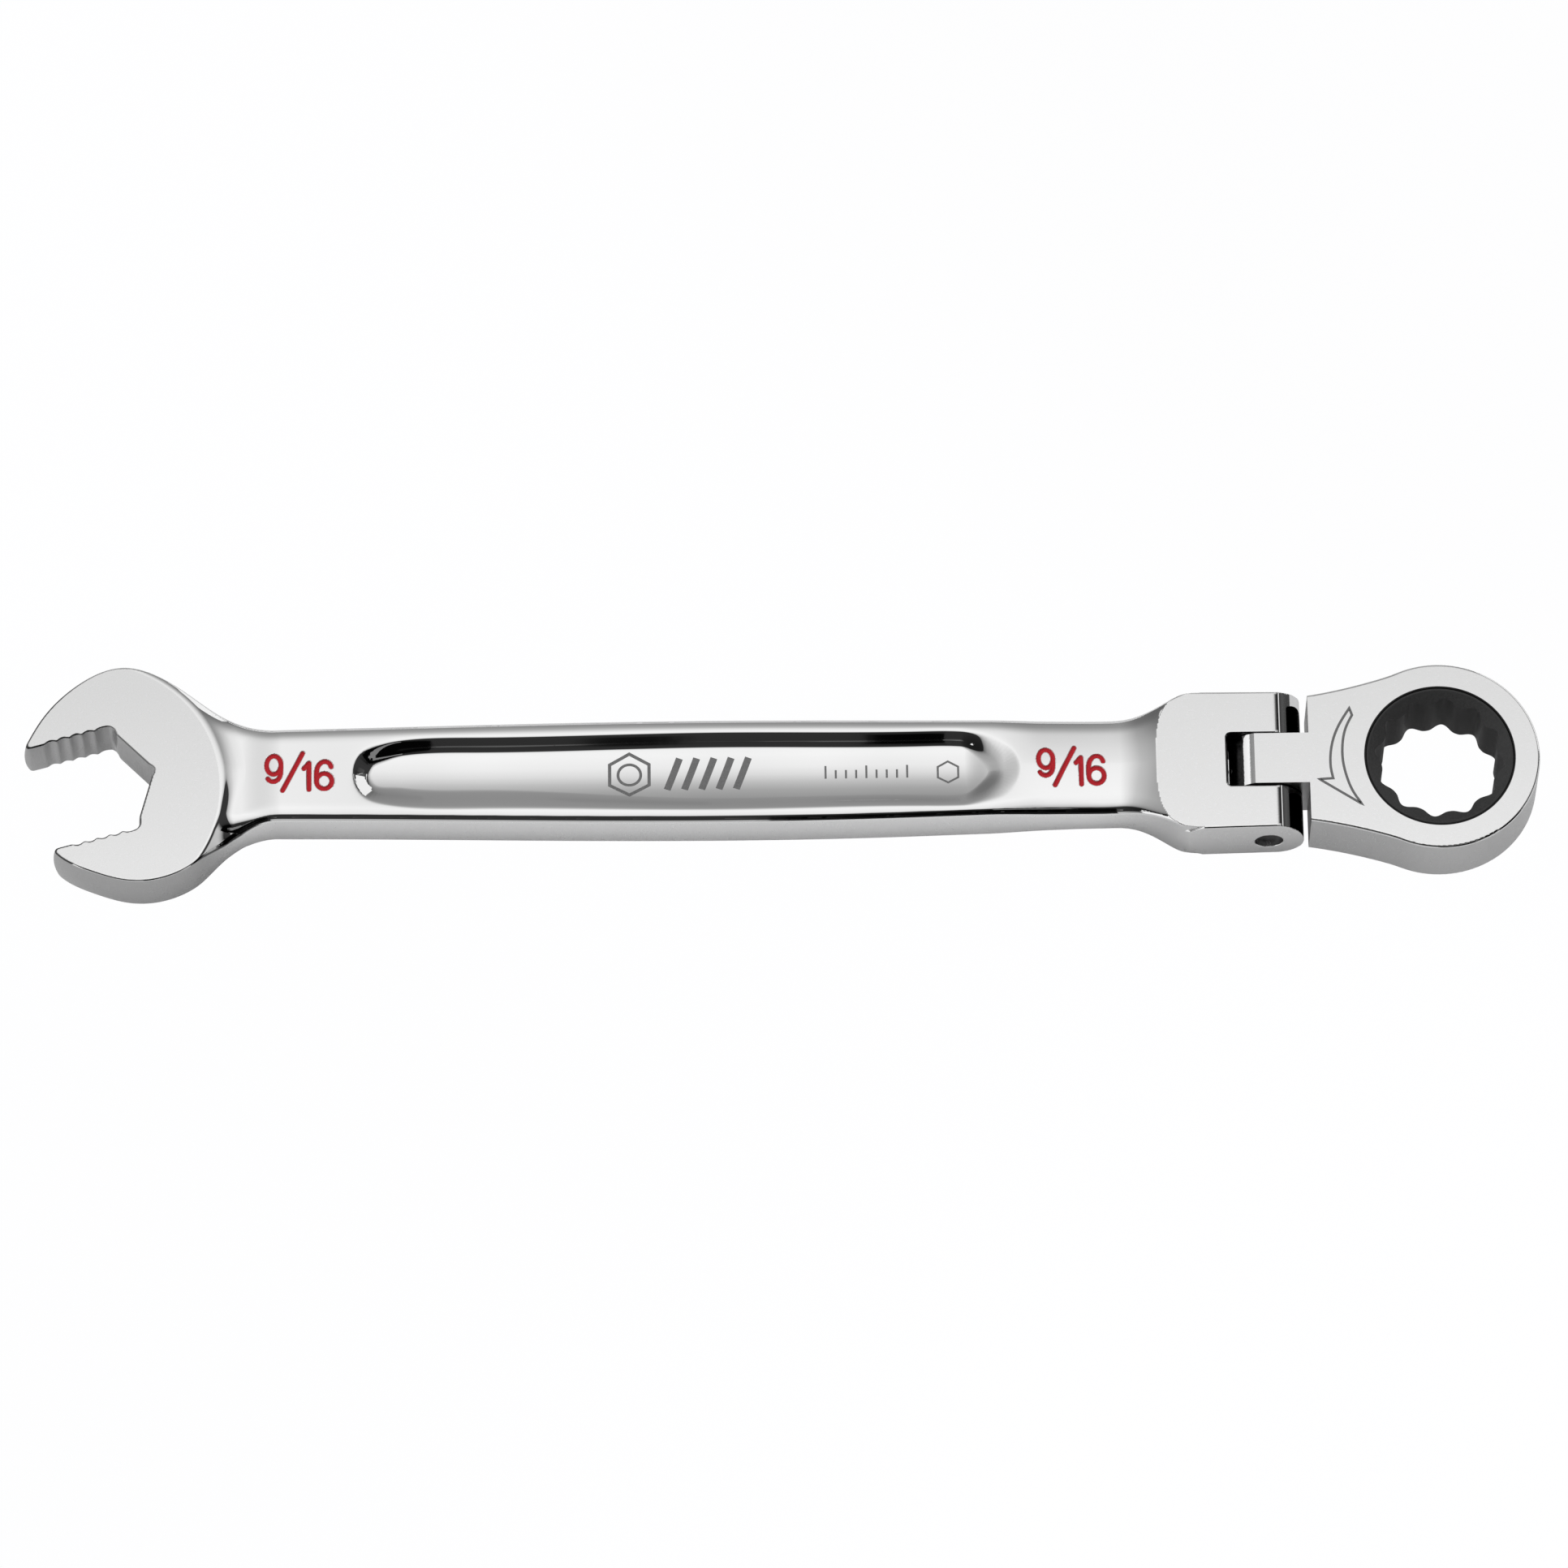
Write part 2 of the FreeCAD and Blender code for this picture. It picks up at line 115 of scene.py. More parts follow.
CLEVIS_FACE_START_X = -36.1
CLEVIS_FACE_SHOULDER = 5.9
CLEVIS_RAMP = 6.0
EAR_END_RADIUS = HANDLE_HIGH[0] - PIVOT_X
EAR_BLEND_RADIUS = 2.6
SLOT_DEPTH = 5.2
SLOT_FLOOR_X = PIVOT_X - SLOT_DEPTH
SLOT_HALF_WIDTH = 3.64
SLOT_CORNER_RADIUS = 0.6
SLOT_EDGE_RADIUS = 0.2
BEAM_TOP_Z = 3.72
BEAM_CROWN = 0.17
CROWN_RUN = 1.8
CROWN_POWER = 3
OVERRUN = 1.2
NECK_DIP = 0.34
NECK_DIP_X = (-153.0, -147.0)
NECK_CORNER_Y = 5.2
NECK_CORNER_RUN = 2.0
NECK_CORNER_FALL = 0.42
NECK_CORNER_BEGINS_X = (-160.0, -154.5)
NECK_CORNER_ENDS_X = (-153.5, -145.5)
CLEVIS_DIP = 0.3
CLEVIS_DIP_X = (-54.0, -43.0)
CLEVIS_CROWN = 0.42
CLEVIS_CROWN_X = (-58.0, -50.0)
CLEVIS_CROWN_POWER = 1.5
BEAM_EDGE_RADIUS = 0.65
CRISP_EDGE_RADIUS = 0.22
BEAM_EDGE_BEGINS_X = (-160.0, -152.0)
BEAM_EDGE_ENDS_X = (-42.0, -34.0)
PIN_HOLE_EDGE_RADIUS = 0.1
WALL_BULGE = 0.3
PIN_RADIUS = (PIN_HIGH[2] - PIN_LOW[2]) / 2
BALL_CLEARANCE = 0.07
BALL_BORE_RADIUS = (BALL_HIGH[2] - BALL_LOW[2]) / 2 + BALL_CLEARANCE
BALL_BORE_END_X = -34.0
BALL_BORE_PAST_FLOOR = 2.0

# Pocket along each face
POCKET_LEFT_END = (-138.4, -0.1)
POCKET_RIGHT_END = (-53.4, -0.6)
POCKET_UPPER_RIM = [
    (-137.4, 2.8), (-134.6, 4.05), (-123.0, 4.75), (-92.0, 5.0),
    (-66.0, 4.75), (-58.0, 4.2), (-54.9, 2.7),
]
POCKET_LOWER_RIM = [
    (-137.2, -3.1), (-134.3, -4.4), (-122.0, -5.25), (-88.0, -5.85),
    (-66.0, -5.75), (-58.0, -5.4), (-55.0, -4.0),
]
POCKET_RIM_STEP = 0.6
POCKET_LEFT_X = (-136.5, -132.0)
POCKET_RIGHT_X = (-61.0, -55.5)
POCKET_LOWER_LEFT_X = (-125.0, -92.0)
POCKET_MIDDLE_Y = (-1.0, 1.0)
POCKET_WALL_DEPTH = 0.62
POCKET_WALL_STRAIGHT = 0.55
POCKET_WALL_RUN = 1.8
POCKET_LEFT_RUN = 2.5
POCKET_LEFT_DEPTH = -0.25
POCKET_LEAN = 0.22
POCKET_LOWER_EXTRA_RUN = 0.3
POCKET_LOWER_LEFT_RUN = 1.2
POCKET_RIGHT_RUN = 5.0
POCKET_RIGHT_RISE = 0.45
POCKET_SAG = 0.8
POCKET_SAG_HALF_WIDTH = 5.6
POCKET_LEAN_LIMIT = 1.1
POCKET_RIM_SOFTNESS = 0.25

# Size numerals: grooves filled with red paint
STROKE_RADIUS = 0.31
STROKE_DEPTH = 0.2
STROKE_EDGE_RADIUS = 0.04
INK_EDGE_INSIDE, INK_EDGE_OUTSIDE, INK_ABOVE_FACE = 0.04, 0.02, 0.01
NUMERAL_STEP = 0.2
SECOND_NUMERALS_SHIFT = (98.3, -0.6)
FAR_FROM_STROKES = 5.0

# Etched marks
NUT_MARK_CENTRE = (-103.2, -0.2)
SMALL_NUT_MARK_CENTRE = (-62.6, -0.4)
BAR_COUNT, BAR_FIRST_X, BAR_PITCH = 5, -98.4, 2.2
TICK_COUNT, TICK_FIRST_X, TICK_PITCH = 9, -78.2, 1.3
FINE_LINE_WIDTH = 0.26
ARROW_LINE_WIDTH = 0.33

# Grid on which the handle is meshed: (start, end, spacing), finest at the numerals and the shoulders
GRID_X = [
    (-181.5, -153, 0.13), (-153, -141, 0.09), (-141, -130, 0.15), (-130, -62, 0.45),
    (-62, -52, 0.22), (-52, -41, 0.09), (-41, -16.9, 0.14),
]
GRID_Y = [(-15.2, -3.3, 0.13), (-3.3, 3.3, 0.09), (3.3, 16.0, 0.13)]
GRID_Z = [(-4.7, 4.7, 0.12)]

# How level a surface is, from 0 (upright) to 1 (level), at the edges of the side walls, the faces, the
# painted shade in the slot and the painted dark reflected lines at the ears
WALL_UPRIGHT = (0.25, 0.5)
SATIN_FACE_UPRIGHT = (0.97, 0.99)
SLOT_SHADE_UPRIGHT = (0.9, 0.97)
EAR_LINE_UPRIGHT = (0.95, 0.96)
EAR_LINE_END_UPRIGHT = (0.985, 0.99)
SATIN_EDGE_BLEND = (-0.1, 0.1)
SIDEWAYS_WALL = 0.8
PAST_PIVOT = 0.5

# Painted shade and painted dark reflections: shade in the slot and at the foot of the open end's step, dark
# reflected lines where the ears' ends round off and round the rim at the left of the open end
SLOT_SHADE_PAST_FLOOR = 0.3
SLOT_SHADE_PAST_SIDES = 0.1
EAR_LINE_INSET = 0.3
LEFT_RIM_PLAN = (-0.22, -0.12)
LEFT_RIM_REACH = (155, 165)
LEFT_RIM_SLANT = 1.1
LEFT_RIM_LOWEST_Y = -12
JAW_CORNER_X = (-166, -150)
JAW_CORNER_HIGHEST_Y = -6
JAW_CORNER_RIGHTWARD = (0.15, 0.25)
JAW_CORNER_FRONTWARD = (0.4, 0.5)

# How bright the side walls are painted, from the open end to the beam and the clevis: painted shade, darkest
# on the open end
JAW_WALL_TONE = 0.5
BEAM_WALL_TONE = 0.93
CLEVIS_WALL_TONE = 0.74
BEAM_TONE_BEGINS_X = (-158, -150)
CLEVIS_TONE_BEGINS_X = (-46, -34)
# Painted shade on the head's upright walls, and the tone of its polished edges
HEAD_WALL_TONE = 0.66
HEAD_EDGE_TONE = 0.9
# Tone of the blasted faces at the near and the far side, painted shade that darkens the far side, and the
# painted shade on the lip round the gear
FACE_NEAR_TONE = 1.0
FACE_FAR_TONE = 0.9
FACE_HALF_WIDTH = 12.0
LIP_SHADE_RADIUS = 9.62
LIP_SHADE_BLEND = 0.05
LIP_TONE = 0.02

# Finishes of the metal: grain and waves in cells per metre, roughness and tone from low to high
GRAIN_SCALE = 5000
WAVE_SCALE = 60
GRAIN_TONE = (0.95, 1.0)
POLISHED_TONE = (0.84, 0.88)
# SHADE_TONE is the tone of the painted shade and the painted dark reflections
SHADE_TONE = (0.05, 0.09)
POLISHED_ROUGHNESS = (0.03, 0.05)
BLASTED_ROUGHNESS = (0.27, 0.33)
HEAD_EDGE_ROUGHNESS = 0.08
PAINT_ROUGHNESS = 0.6
PAINT_RED = (0.42, 0.008, 0.016, 1)
HEAD_WALL_UPRIGHT = (0.25, 0.35)
HEAD_FLAT_UPRIGHT = (0.98, 0.99)

DETAIL = 1.0


# ---- curves and distances ----

def spline(points, start=None, end=None, step=0.4):
    """Points about step apart on a smooth curve through points, with optional directions at its ends."""
    p = np.array(points, float)
    t = np.concatenate([[0], np.cumsum(np.hypot(*np.diff(p, axis=0).T))])
    gap = np.diff(t)
    count = len(p)
    matrix = np.zeros((count, count))
    right = np.zeros((count, 2))
    slopes = np.diff(p, axis=0) / gap[:, None]
    for i in range(1, count - 1):
        matrix[i, i - 1:i + 2] = gap[i - 1], 2 * (gap[i - 1] + gap[i]), gap[i]
        right[i] = 6 * (slopes[i] - slopes[i - 1])
    matrix[0, 0] = matrix[-1, -1] = 1
    if start is not None:
        matrix[0, :2] = 2 * gap[0], gap[0]
        right[0] = 6 * (slopes[0] - np.array(start) / np.hypot(*start))
    if end is not None:
        matrix[-1, -2:] = gap[-1], 2 * gap[-1]
        right[-1] = 6 * (np.array(end) / np.hypot(*end) - slopes[-1])
    bend = np.linalg.solve(matrix, right)
    at = np.linspace(0, t[-1], max(2, int(t[-1] / step) + 1))
    i = np.clip(np.searchsorted(t, at, side="right") - 1, 0, count - 2)
    a = (t[i + 1] - at)[:, None]
    b = (at - t[i])[:, None]
    h = gap[i][:, None]
    curve = (bend[i] * a ** 3 + bend[i + 1] * b ** 3) / (6 * h)
    curve += (p[i] / h - bend[i] * h / 6) * a + (p[i + 1] / h - bend[i + 1] * h / 6) * b
    return [tuple(q) for q in curve]


def distance_to_path(x, y, path, closed):
    """Distance to a path, the direction away from it, and, for a closed path, whether a point is inside."""
    start = np.array(path, float)
    finish = np.roll(start, -1, axis=0) if closed else start[1:]
    best = np.full(x.shape, 1e12)
    away_x, away_y = np.zeros(x.shape), np.zeros(x.shape)
    inside = np.zeros(x.shape, bool)
    for (ax, ay), (bx, by) in zip(start, finish):
        ex, ey = bx - ax, by - ay
        wx, wy = x - ax, y - ay
        along = np.clip((wx * ex + wy * ey) / (ex * ex + ey * ey), 0, 1)
        dx, dy = wx - ex * along, wy - ey * along
        squared = dx * dx + dy * dy
        closer = squared < best
        best = np.where(closer, squared, best)
        away_x = np.where(closer, dx, away_x)
        away_y = np.where(closer, dy, away_y)
        if closed and ay != by:
            inside ^= ((ay > y) != (by > y)) & (wx < ex * wy / ey)
    reach = np.sqrt(best)
    scale = np.where(inside, -1, 1) / np.maximum(reach, 1e-9)
    return np.where(inside, -reach, reach), away_x * scale, away_y * scale


def round_max(a, b, radius):
    """The larger of two distances, with the edge between them rounded to radius."""
    corner = np.hypot(np.maximum(a + radius, 0), np.maximum(b + radius, 0))
    return np.minimum(np.maximum(a, b), -radius) + corner


def smooth_step(value, low, high):
    t = np.clip((value - low) / (high - low), 0, 1)
    return t * t * (3 - 2 * t)


# ---- plan outlines of the handle ----

def flip(points):
    return [(x, -y) for x, y in points]


def handle_outline():
    """The handle from above, without the jaw opening and the slot."""
    ear_end = HANDLE_HIGH[0] + 1
    sides = []
    for jaw, beam, flare, rise in (
        (UPPER_JAW, BEAM_UPPER, CLEVIS_FLARE + [CLEVIS_UPPER_CORNER], 1),
        (LOWER_JAW, BEAM_LOWER, flip(CLEVIS_FLARE) + [CLEVIS_LOWER_CORNER], -1),
    ):
        along_beam = (1, BEAM_END_SLOPE * rise)
        along_flare = (CLEVIS_FLARE_END[0], CLEVIS_FLARE_END[1] * rise)
        side = spline(jaw + beam[:1], None, along_beam)
        side += spline(beam, along_beam, (1, 0), BEAM_OUTLINE_STEP)[1:]
        side += spline(beam[-1:] + flare, (1, 0), along_flare)[1:]
        sides.append(side)
    upper, lower = sides
    ears = [(ear_end, CLEVIS_HALF_WIDTH), (ear_end, -CLEVIS_HALF_WIDTH)]
    return upper + ears + lower[::-1]


def jaw_point(u, v):
    """A point given along (u) and across (v) the jaw, from the middle of the nut."""
    x = NUT_CENTRE[0] + u * math.cos(JAW_ANGLE) - v * math.sin(JAW_ANGLE)
    y = NUT_CENTRE[1] + u * math.sin(JAW_ANGLE) + v * math.cos(JAW_ANGLE)
    return (x, y)


def jaw_opening(x, y):
    """Signed distance to the open hexagon with its reliefs and grip grooves, negative inside the opening."""
    corner_u = OPENING_HALF / math.sqrt(3)
    outline = [(-JAW_MOUTH_REACH, -OPENING_HALF), (corner_u, -OPENING_HALF), (2 * corner_u, 0)]
    outline += [(corner_u, OPENING_HALF), (-JAW_MOUTH_REACH, OPENING_HALF)]
    opening = distance_to_path(x, y, [jaw_point(u, v) for u, v in outline], True)[0]
    circles = [(jaw_point(2 * corner_u - THROAT_RELIEF_INSET, 0), THROAT_RELIEF_RADIUS)]
    for side in (-1, 1):
        v = side * (OPENING_HALF + GROOVE_DEPTH - CORNER_RELIEF_RADIUS)
        circles.append((jaw_point(corner_u - CORNER_RELIEF_INSET, v), CORNER_RELIEF_RADIUS))
        for i in range(GROOVE_COUNT):
            v = side * (OPENING_HALF + GROOVE_DEPTH - GROOVE_RADIUS)
            circles.append((jaw_point(GROOVE_FIRST + i * GROOVE_PITCH, v), GROOVE_RADIUS))
    for (cx, cy), radius in circles:
        circle = np.hypot(x - cx, y - cy) - radius
        opening = -round_max(-opening, -circle, RELIEF_EDGE_RADIUS)
    return opening


def slot_distance(x, y):
    """Signed distance to the slot between the ears, negative inside it, with rounded corners at its floor."""
    return round_max(SLOT_FLOOR_X - x, np.abs(y) - SLOT_HALF_WIDTH, SLOT_CORNER_RADIUS)


def plan_distance(x, y, outline):
    """Signed distance in plan to the handle's metal, from the distance to its outer outline."""
    plan = round_max(outline, -jaw_opening(x, y), JAW_TIP_RADIUS)
    return round_max(plan, -slot_distance(x, y), SLOT_EDGE_RADIUS)


def pocket_outline():
    """The pocket's rim from above, a closed path."""
    first, last = [POCKET_LEFT_END], [POCKET_RIGHT_END]
    upper = spline(first + POCKET_UPPER_RIM + last, (0, 1), (0, -1), POCKET_RIM_STEP)
    lower = spline(first + POCKET_LOWER_RIM + last, (0, -1), (0, 1), POCKET_RIM_STEP)
    return upper[:-1] + lower[:0:-1]


# ---- size numerals ----

def ellipse(centre, rx, ry, first=0, last=360, steps=25):
    angles = np.radians(np.linspace(first, last, steps))
    return [(centre[0] + rx * math.cos(a), centre[1] + ry * math.sin(a)) for a in angles]


def numeral_strokes():
    """The strokes of 9/16: the nine stands high, the sixteen low."""
    nine_tail = [(-147.53, 1.3), (-147.55, 0.3), (-147.9, -0.7), (-148.5, -0.98), (-149.2, -0.55)]
    six_tail = [(-141.15, 0.95), (-141.45, 1.5), (-142.1, 1.68), (-142.75, 1.15), (-143.0, 0.1)]
    six_tail.append((-143.0, -1.03))
    nine = [ellipse((-148.45, 1.3), 0.92, 1.27), spline(nine_tail, (0, -1), (-0.5, 1), NUMERAL_STEP)]
    slash = [[(-144.79, 2.86), (-147.31, -2.26)]]
    one = [[(-144.6, 0.75), (-143.97, 1.5), (-143.95, -2.16)]]
    six = [ellipse((-142.02, -1.03), 0.98, 1.06), spline(six_tail, (-0.3, 1), (0, -1), NUMERAL_STEP)]
    strokes = nine + slash + one + six
    shift_x, shift_y = SECOND_NUMERALS_SHIFT
    return strokes + [[(x + shift_x, y + shift_y) for x, y in stroke] for stroke in strokes]


def stroke_distance(x, y, strokes):
    """Distance in plan to the nearest stroke; far points keep a large value."""
    result = np.full(x.shape, FAR_FROM_STROKES)
    for stroke in strokes:
        low, high = np.min(stroke, axis=0) - 1, np.max(stroke, axis=0) + 1
        near = (x > low[0]) & (x < high[0]) & (y > low[1]) & (y < high[1])
        if near.any():
            result[near] = np.minimum(result[near], distance_to_path(x[near], y[near], stroke, False)[0])
    return result


# ---- the handle as a distance field ----

def pocket_depth(x, y, pocket):
    """How far the pocket floor lies below the beam's face, from the distance to the pocket's rim."""
    inward = (np.sqrt(pocket ** 2 + POCKET_RIM_SOFTNESS ** 2) - pocket) / 2
    to_left = 1 - smooth_step(x, *POCKET_LEFT_X)
    to_right = smooth_step(x, *POCKET_RIGHT_X)
    lower_run = POCKET_LOWER_EXTRA_RUN + POCKET_LOWER_LEFT_RUN * (1 - smooth_step(x, *POCKET_LOWER_LEFT_X))
    side_run = POCKET_WALL_RUN + lower_run * (1 - smooth_step(y, *POCKET_MIDDLE_Y))
    run = side_run + (POCKET_LEFT_RUN - side_run) * to_left
    run = run + (POCKET_RIGHT_RUN - side_run) * to_right
    share = np.clip(inward / run, 0, 1)
    steepness = 2 / (1 + POCKET_WALL_STRAIGHT)
    foot = 1 - steepness * (1 - share) ** 2 / (2 * (1 - POCKET_WALL_STRAIGHT))
    wall = np.where(share < POCKET_WALL_STRAIGHT, steepness * share, foot)
    sag = POCKET_SAG * (1 - np.clip(y / POCKET_SAG_HALF_WIDTH, -1, 1) ** 2)
    lean = POCKET_LEAN * np.clip(y / POCKET_SAG_HALF_WIDTH, -POCKET_LEAN_LIMIT, POCKET_LEAN_LIMIT)
    depth = POCKET_WALL_DEPTH + sag + lean + POCKET_LEFT_DEPTH * to_left
    return wall * depth * (1 - POCKET_RIGHT_RISE * to_right)


def beyond_open_face(x, y):
    """Distance outside the rim of the open end's flat face, an arc across the neck."""
    return np.hypot(x - JAW_FACE_CENTRE[0], y - JAW_FACE_CENTRE[1]) - JAW_FACE_RADIUS


def clevis_face_edge(y):
    """Where the clevis face begins: a rounded front whose sides run back along the clevis."""
    across = np.clip(np.abs(y) / (CLEVIS_HALF_WIDTH + 0.05), 0, 1)
    return CLEVIS_FACE_START_X + CLEVIS_FACE_SHOULDER * (1 - (1 - across ** 3) ** (1 / 3))


def half_thickness(x, y, plan, pocket):
    """Height of the handle's face above its middle plane."""
    crown = BEAM_CROWN * np.clip(1 + (plan + BEAM_EDGE_RADIUS) / CROWN_RUN, 0, OVERRUN) ** CROWN_POWER
    dip = NECK_DIP * (1 - smooth_step(x, *NECK_DIP_X)) + CLEVIS_DIP * smooth_step(x, *CLEVIS_DIP_X)
    beam = BEAM_TOP_Z - crown - dip - pocket_depth(x, y, pocket)
    crown_share = smooth_step(x, *CLEVIS_CROWN_X)
    beam = beam - CLEVIS_CROWN * crown_share * np.abs(y / BEAM_UPPER[-1][1]) ** CLEVIS_CROWN_POWER
    run = JAW_STEP_RUN + (JAW_STEP_RUN_FAR - JAW_STEP_RUN) * smooth_step(y, *JAW_STEP_WIDENS_Y)
    step = np.clip(beyond_open_face(x, y) / run, 0, 1)
    open_end = 1 - np.where(
        step < JAW_STEP_KNEE,
        step ** 2 / JAW_STEP_KNEE,
        1 - (1 - step) ** 2 / (1 - JAW_STEP_KNEE),
    )
    at_corner = smooth_step(x, *NECK_CORNER_BEGINS_X) * (1 - smooth_step(x, *NECK_CORNER_ENDS_X))
    past_corner = np.clip((-NECK_CORNER_Y - y) / NECK_CORNER_RUN, 0, OVERRUN)
    beam = beam - NECK_CORNER_FALL * at_corner * past_corner ** 2
    open_face = OPEN_FACE_Z + OPEN_FACE_TAPER * (x - NUT_CENTRE[0])
    ramp = (1 - np.clip((clevis_face_edge(y) - x) / CLEVIS_RAMP, 0, 1)) ** 2
    height = beam + (open_face - beam) * open_end
    return height + (CLEVIS_FACE_Z - height) * ramp


def edge_radius(x):
    """Rounding of the rim: crisp on the open end and the clevis, generous along the beam."""
    along_beam = smooth_step(x, *BEAM_EDGE_BEGINS_X) * (1 - smooth_step(x, *BEAM_EDGE_ENDS_X))
    return CRISP_EDGE_RADIUS + (BEAM_EDGE_RADIUS - CRISP_EDGE_RADIUS) * along_beam


def ear_distance(beyond, height):
    """Distance to the rounded end of the ears: a cylinder about the pivot, blended into the flat face."""
    blend_z = CLEVIS_FACE_Z - EAR_BLEND_RADIUS
    blend_x = math.sqrt((EAR_END_RADIUS - EAR_BLEND_RADIUS) ** 2 - blend_z ** 2)
    cylinder = np.where(beyond > 0, np.hypot(beyond, height), height) - EAR_END_RADIUS
    blend = np.hypot(beyond - blend_x, height - blend_z) - EAR_BLEND_RADIUS
    in_blend = (beyond > blend_x) & (height * blend_x > beyond * blend_z)
    return np.where(in_blend, blend, cylinder)


def handle_field(x, y, z, plan, pocket, strokes):
    """Distance-like value, negative inside the handle's metal."""
    height = half_thickness(x, y, plan, pocket)
    wall = plan - WALL_BULGE * np.clip(1 - (z / height) ** 2, 0, 1)
    value = round_max(wall, np.abs(z) - height, edge_radius(x))
    beyond = x - PIVOT_X
    value = np.maximum(value, ear_distance(beyond, np.abs(z)))
    pin_hole = PIN_RADIUS - np.hypot(beyond, z)
    value = round_max(value, pin_hole, PIN_HOLE_EDGE_RADIUS)
    ball_bore = np.maximum(np.hypot(y, z) - BALL_BORE_RADIUS, BALL_BORE_END_X - x)
    ball_bore = np.maximum(ball_bore, x - SLOT_FLOOR_X - BALL_BORE_PAST_FLOOR)
    value = np.maximum(value, -ball_bore)
    groove = STROKE_RADIUS - np.hypot(strokes, (z - height) * STROKE_RADIUS / STROKE_DEPTH)
    return np.where(z > 0, round_max(value, groove, STROKE_EDGE_RADIUS), value)


# ---- meshing a distance field ----

def ruler(stretches):
    """Grid positions from stretches of (start, end, spacing)."""
    parts = []
    for start, end, spacing in stretches:
        parts.append(np.linspace(start, end, max(2, int(round((end - start) / (spacing * DETAIL))) + 1))[:-1])
    return np.concatenate(parts + [[stretches[-1][1]]])


def surface_nets(xs, ys, zs, values):
    """Vertices and quads of the surface where values change sign on the grid."""
    inside = values < 0
    shape = tuple(n - 1 for n in values.shape)
    corners = [(i, j, k) for i in (0, 1) for j in (0, 1) for k in (0, 1)]
    filled = np.zeros(shape, np.int8)
    for i, j, k in corners:
        filled += inside[i:i + shape[0], j:j + shape[1], k:k + shape[2]]
    cells = np.argwhere((filled > 0) & (filled < 8))
    ci, cj, ck = cells.T
    at = {c: values[ci + c[0], cj + c[1], ck + c[2]].astype(float) for c in corners}
    total, count = np.zeros((len(cells), 3)), np.zeros(len(cells))
    for first in corners:
        for axis in range(3):
            if first[axis] == 1:
                continue
            second = tuple(1 if a == axis else c for a, c in enumerate(first))
            a, b = at[first], at[second]
            crossing = (a < 0) != (b < 0)
            share = np.where(crossing, a / np.where(crossing, a - b, 1), 0)
            spot = np.tile(np.array(first, float), (len(cells), 1))
            spot[:, axis] = share
            total += spot * crossing[:, None]
            count += crossing
    local = total / count[:, None]
    vertices = np.empty((len(cells), 3))
    for axis, (grid, index) in enumerate(((xs, ci), (ys, cj), (zs, ck))):
        vertices[:, axis] = grid[index] + local[:, axis] * (grid[index + 1] - grid[index])
    number = np.full(shape, -1, np.int32)
    number[ci, cj, ck] = np.arange(len(cells))
    quads = []
    for axis in range(3):
        low = [slice(1, -1)] * 3
        low[axis] = slice(0, -1)
        high = list(low)
        high[axis] = slice(1, None)
        start, finish = inside[tuple(low)], inside[tuple(high)]
        for leaving in (True, False):
            edges = np.argwhere(start & ~finish if leaving else ~start & finish)
            for other in range(3):
                if other != axis:
                    edges[:, other] += 1
            u, v = [a for a in range(3) if a != axis]
            around = []
            for du, dv in ((-1, -1), (0, -1), (0, 0), (-1, 0)):
                cell = edges.copy()
                cell[:, u] += du
                cell[:, v] += dv
                around.append(number[cell[:, 0], cell[:, 1], cell[:, 2]])
            if leaving != (axis != 1):
                around.reverse()
            quads.append(np.stack(around, axis=1))
    return vertices, np.concatenate(quads)


def settle(vertices, field, rounds=3, eps=1e-3):
    """Moves vertices onto the field's zero surface; returns them with their outward normals."""
    for turn in range(rounds + 1):
        here = field(vertices)
        slope = np.empty_like(vertices)
        for axis in range(3):
            ahead, behind = vertices.copy(), vertices.copy()
            ahead[:, axis] += eps
            behind[:, axis] -= eps
            slope[:, axis] = (field(ahead) - field(behind)) / (2 * eps)
        size = np.maximum(np.sum(slope ** 2, axis=1), 0.05)
        if turn < rounds:
            move = (here / size)[:, None] * slope
            length = np.maximum(np.linalg.norm(move, axis=1), 1e-12)
            vertices = vertices - move * np.minimum(1, 0.08 / length)[:, None]
    normals = slope / np.maximum(np.linalg.norm(slope, axis=1), 1e-9)[:, None]
    return vertices, normals


def mesh_object(name, vertices, faces, normals=None):
    """An object from vertices in millimetres and faces of one size."""
    mesh = bpy.data.meshes.new(name)
    corners = faces.shape[1]
    mesh.vertices.add(len(vertices))
    mesh.vertices.foreach_set("co", (vertices * MM).astype(np.float32).ravel())
    mesh.loops.add(faces.size)
    mesh.loops.foreach_set("vertex_index", faces.astype(np.int32).ravel())
    mesh.polygons.add(len(faces))
    mesh.polygons.foreach_set("loop_start", np.arange(0, faces.size, corners, dtype=np.int32))
    mesh.update(calc_edges=True)
    mesh.polygons.foreach_set("use_smooth", np.ones(len(faces), bool))
    if normals is not None:
        mesh.normals_split_custom_set_from_vertices([tuple(n) for n in normals])
    mesh.update()
    piece = bpy.data.objects.new(name, mesh)
    bpy.context.scene.collection.objects.link(piece)
    return piece


def set_attribute(piece, name, values):
    layer = piece.data.attributes.new(name, "FLOAT", "POINT")
    layer.data.foreach_set("value", np.asarray(values, np.float32))


# ---- the handle ----

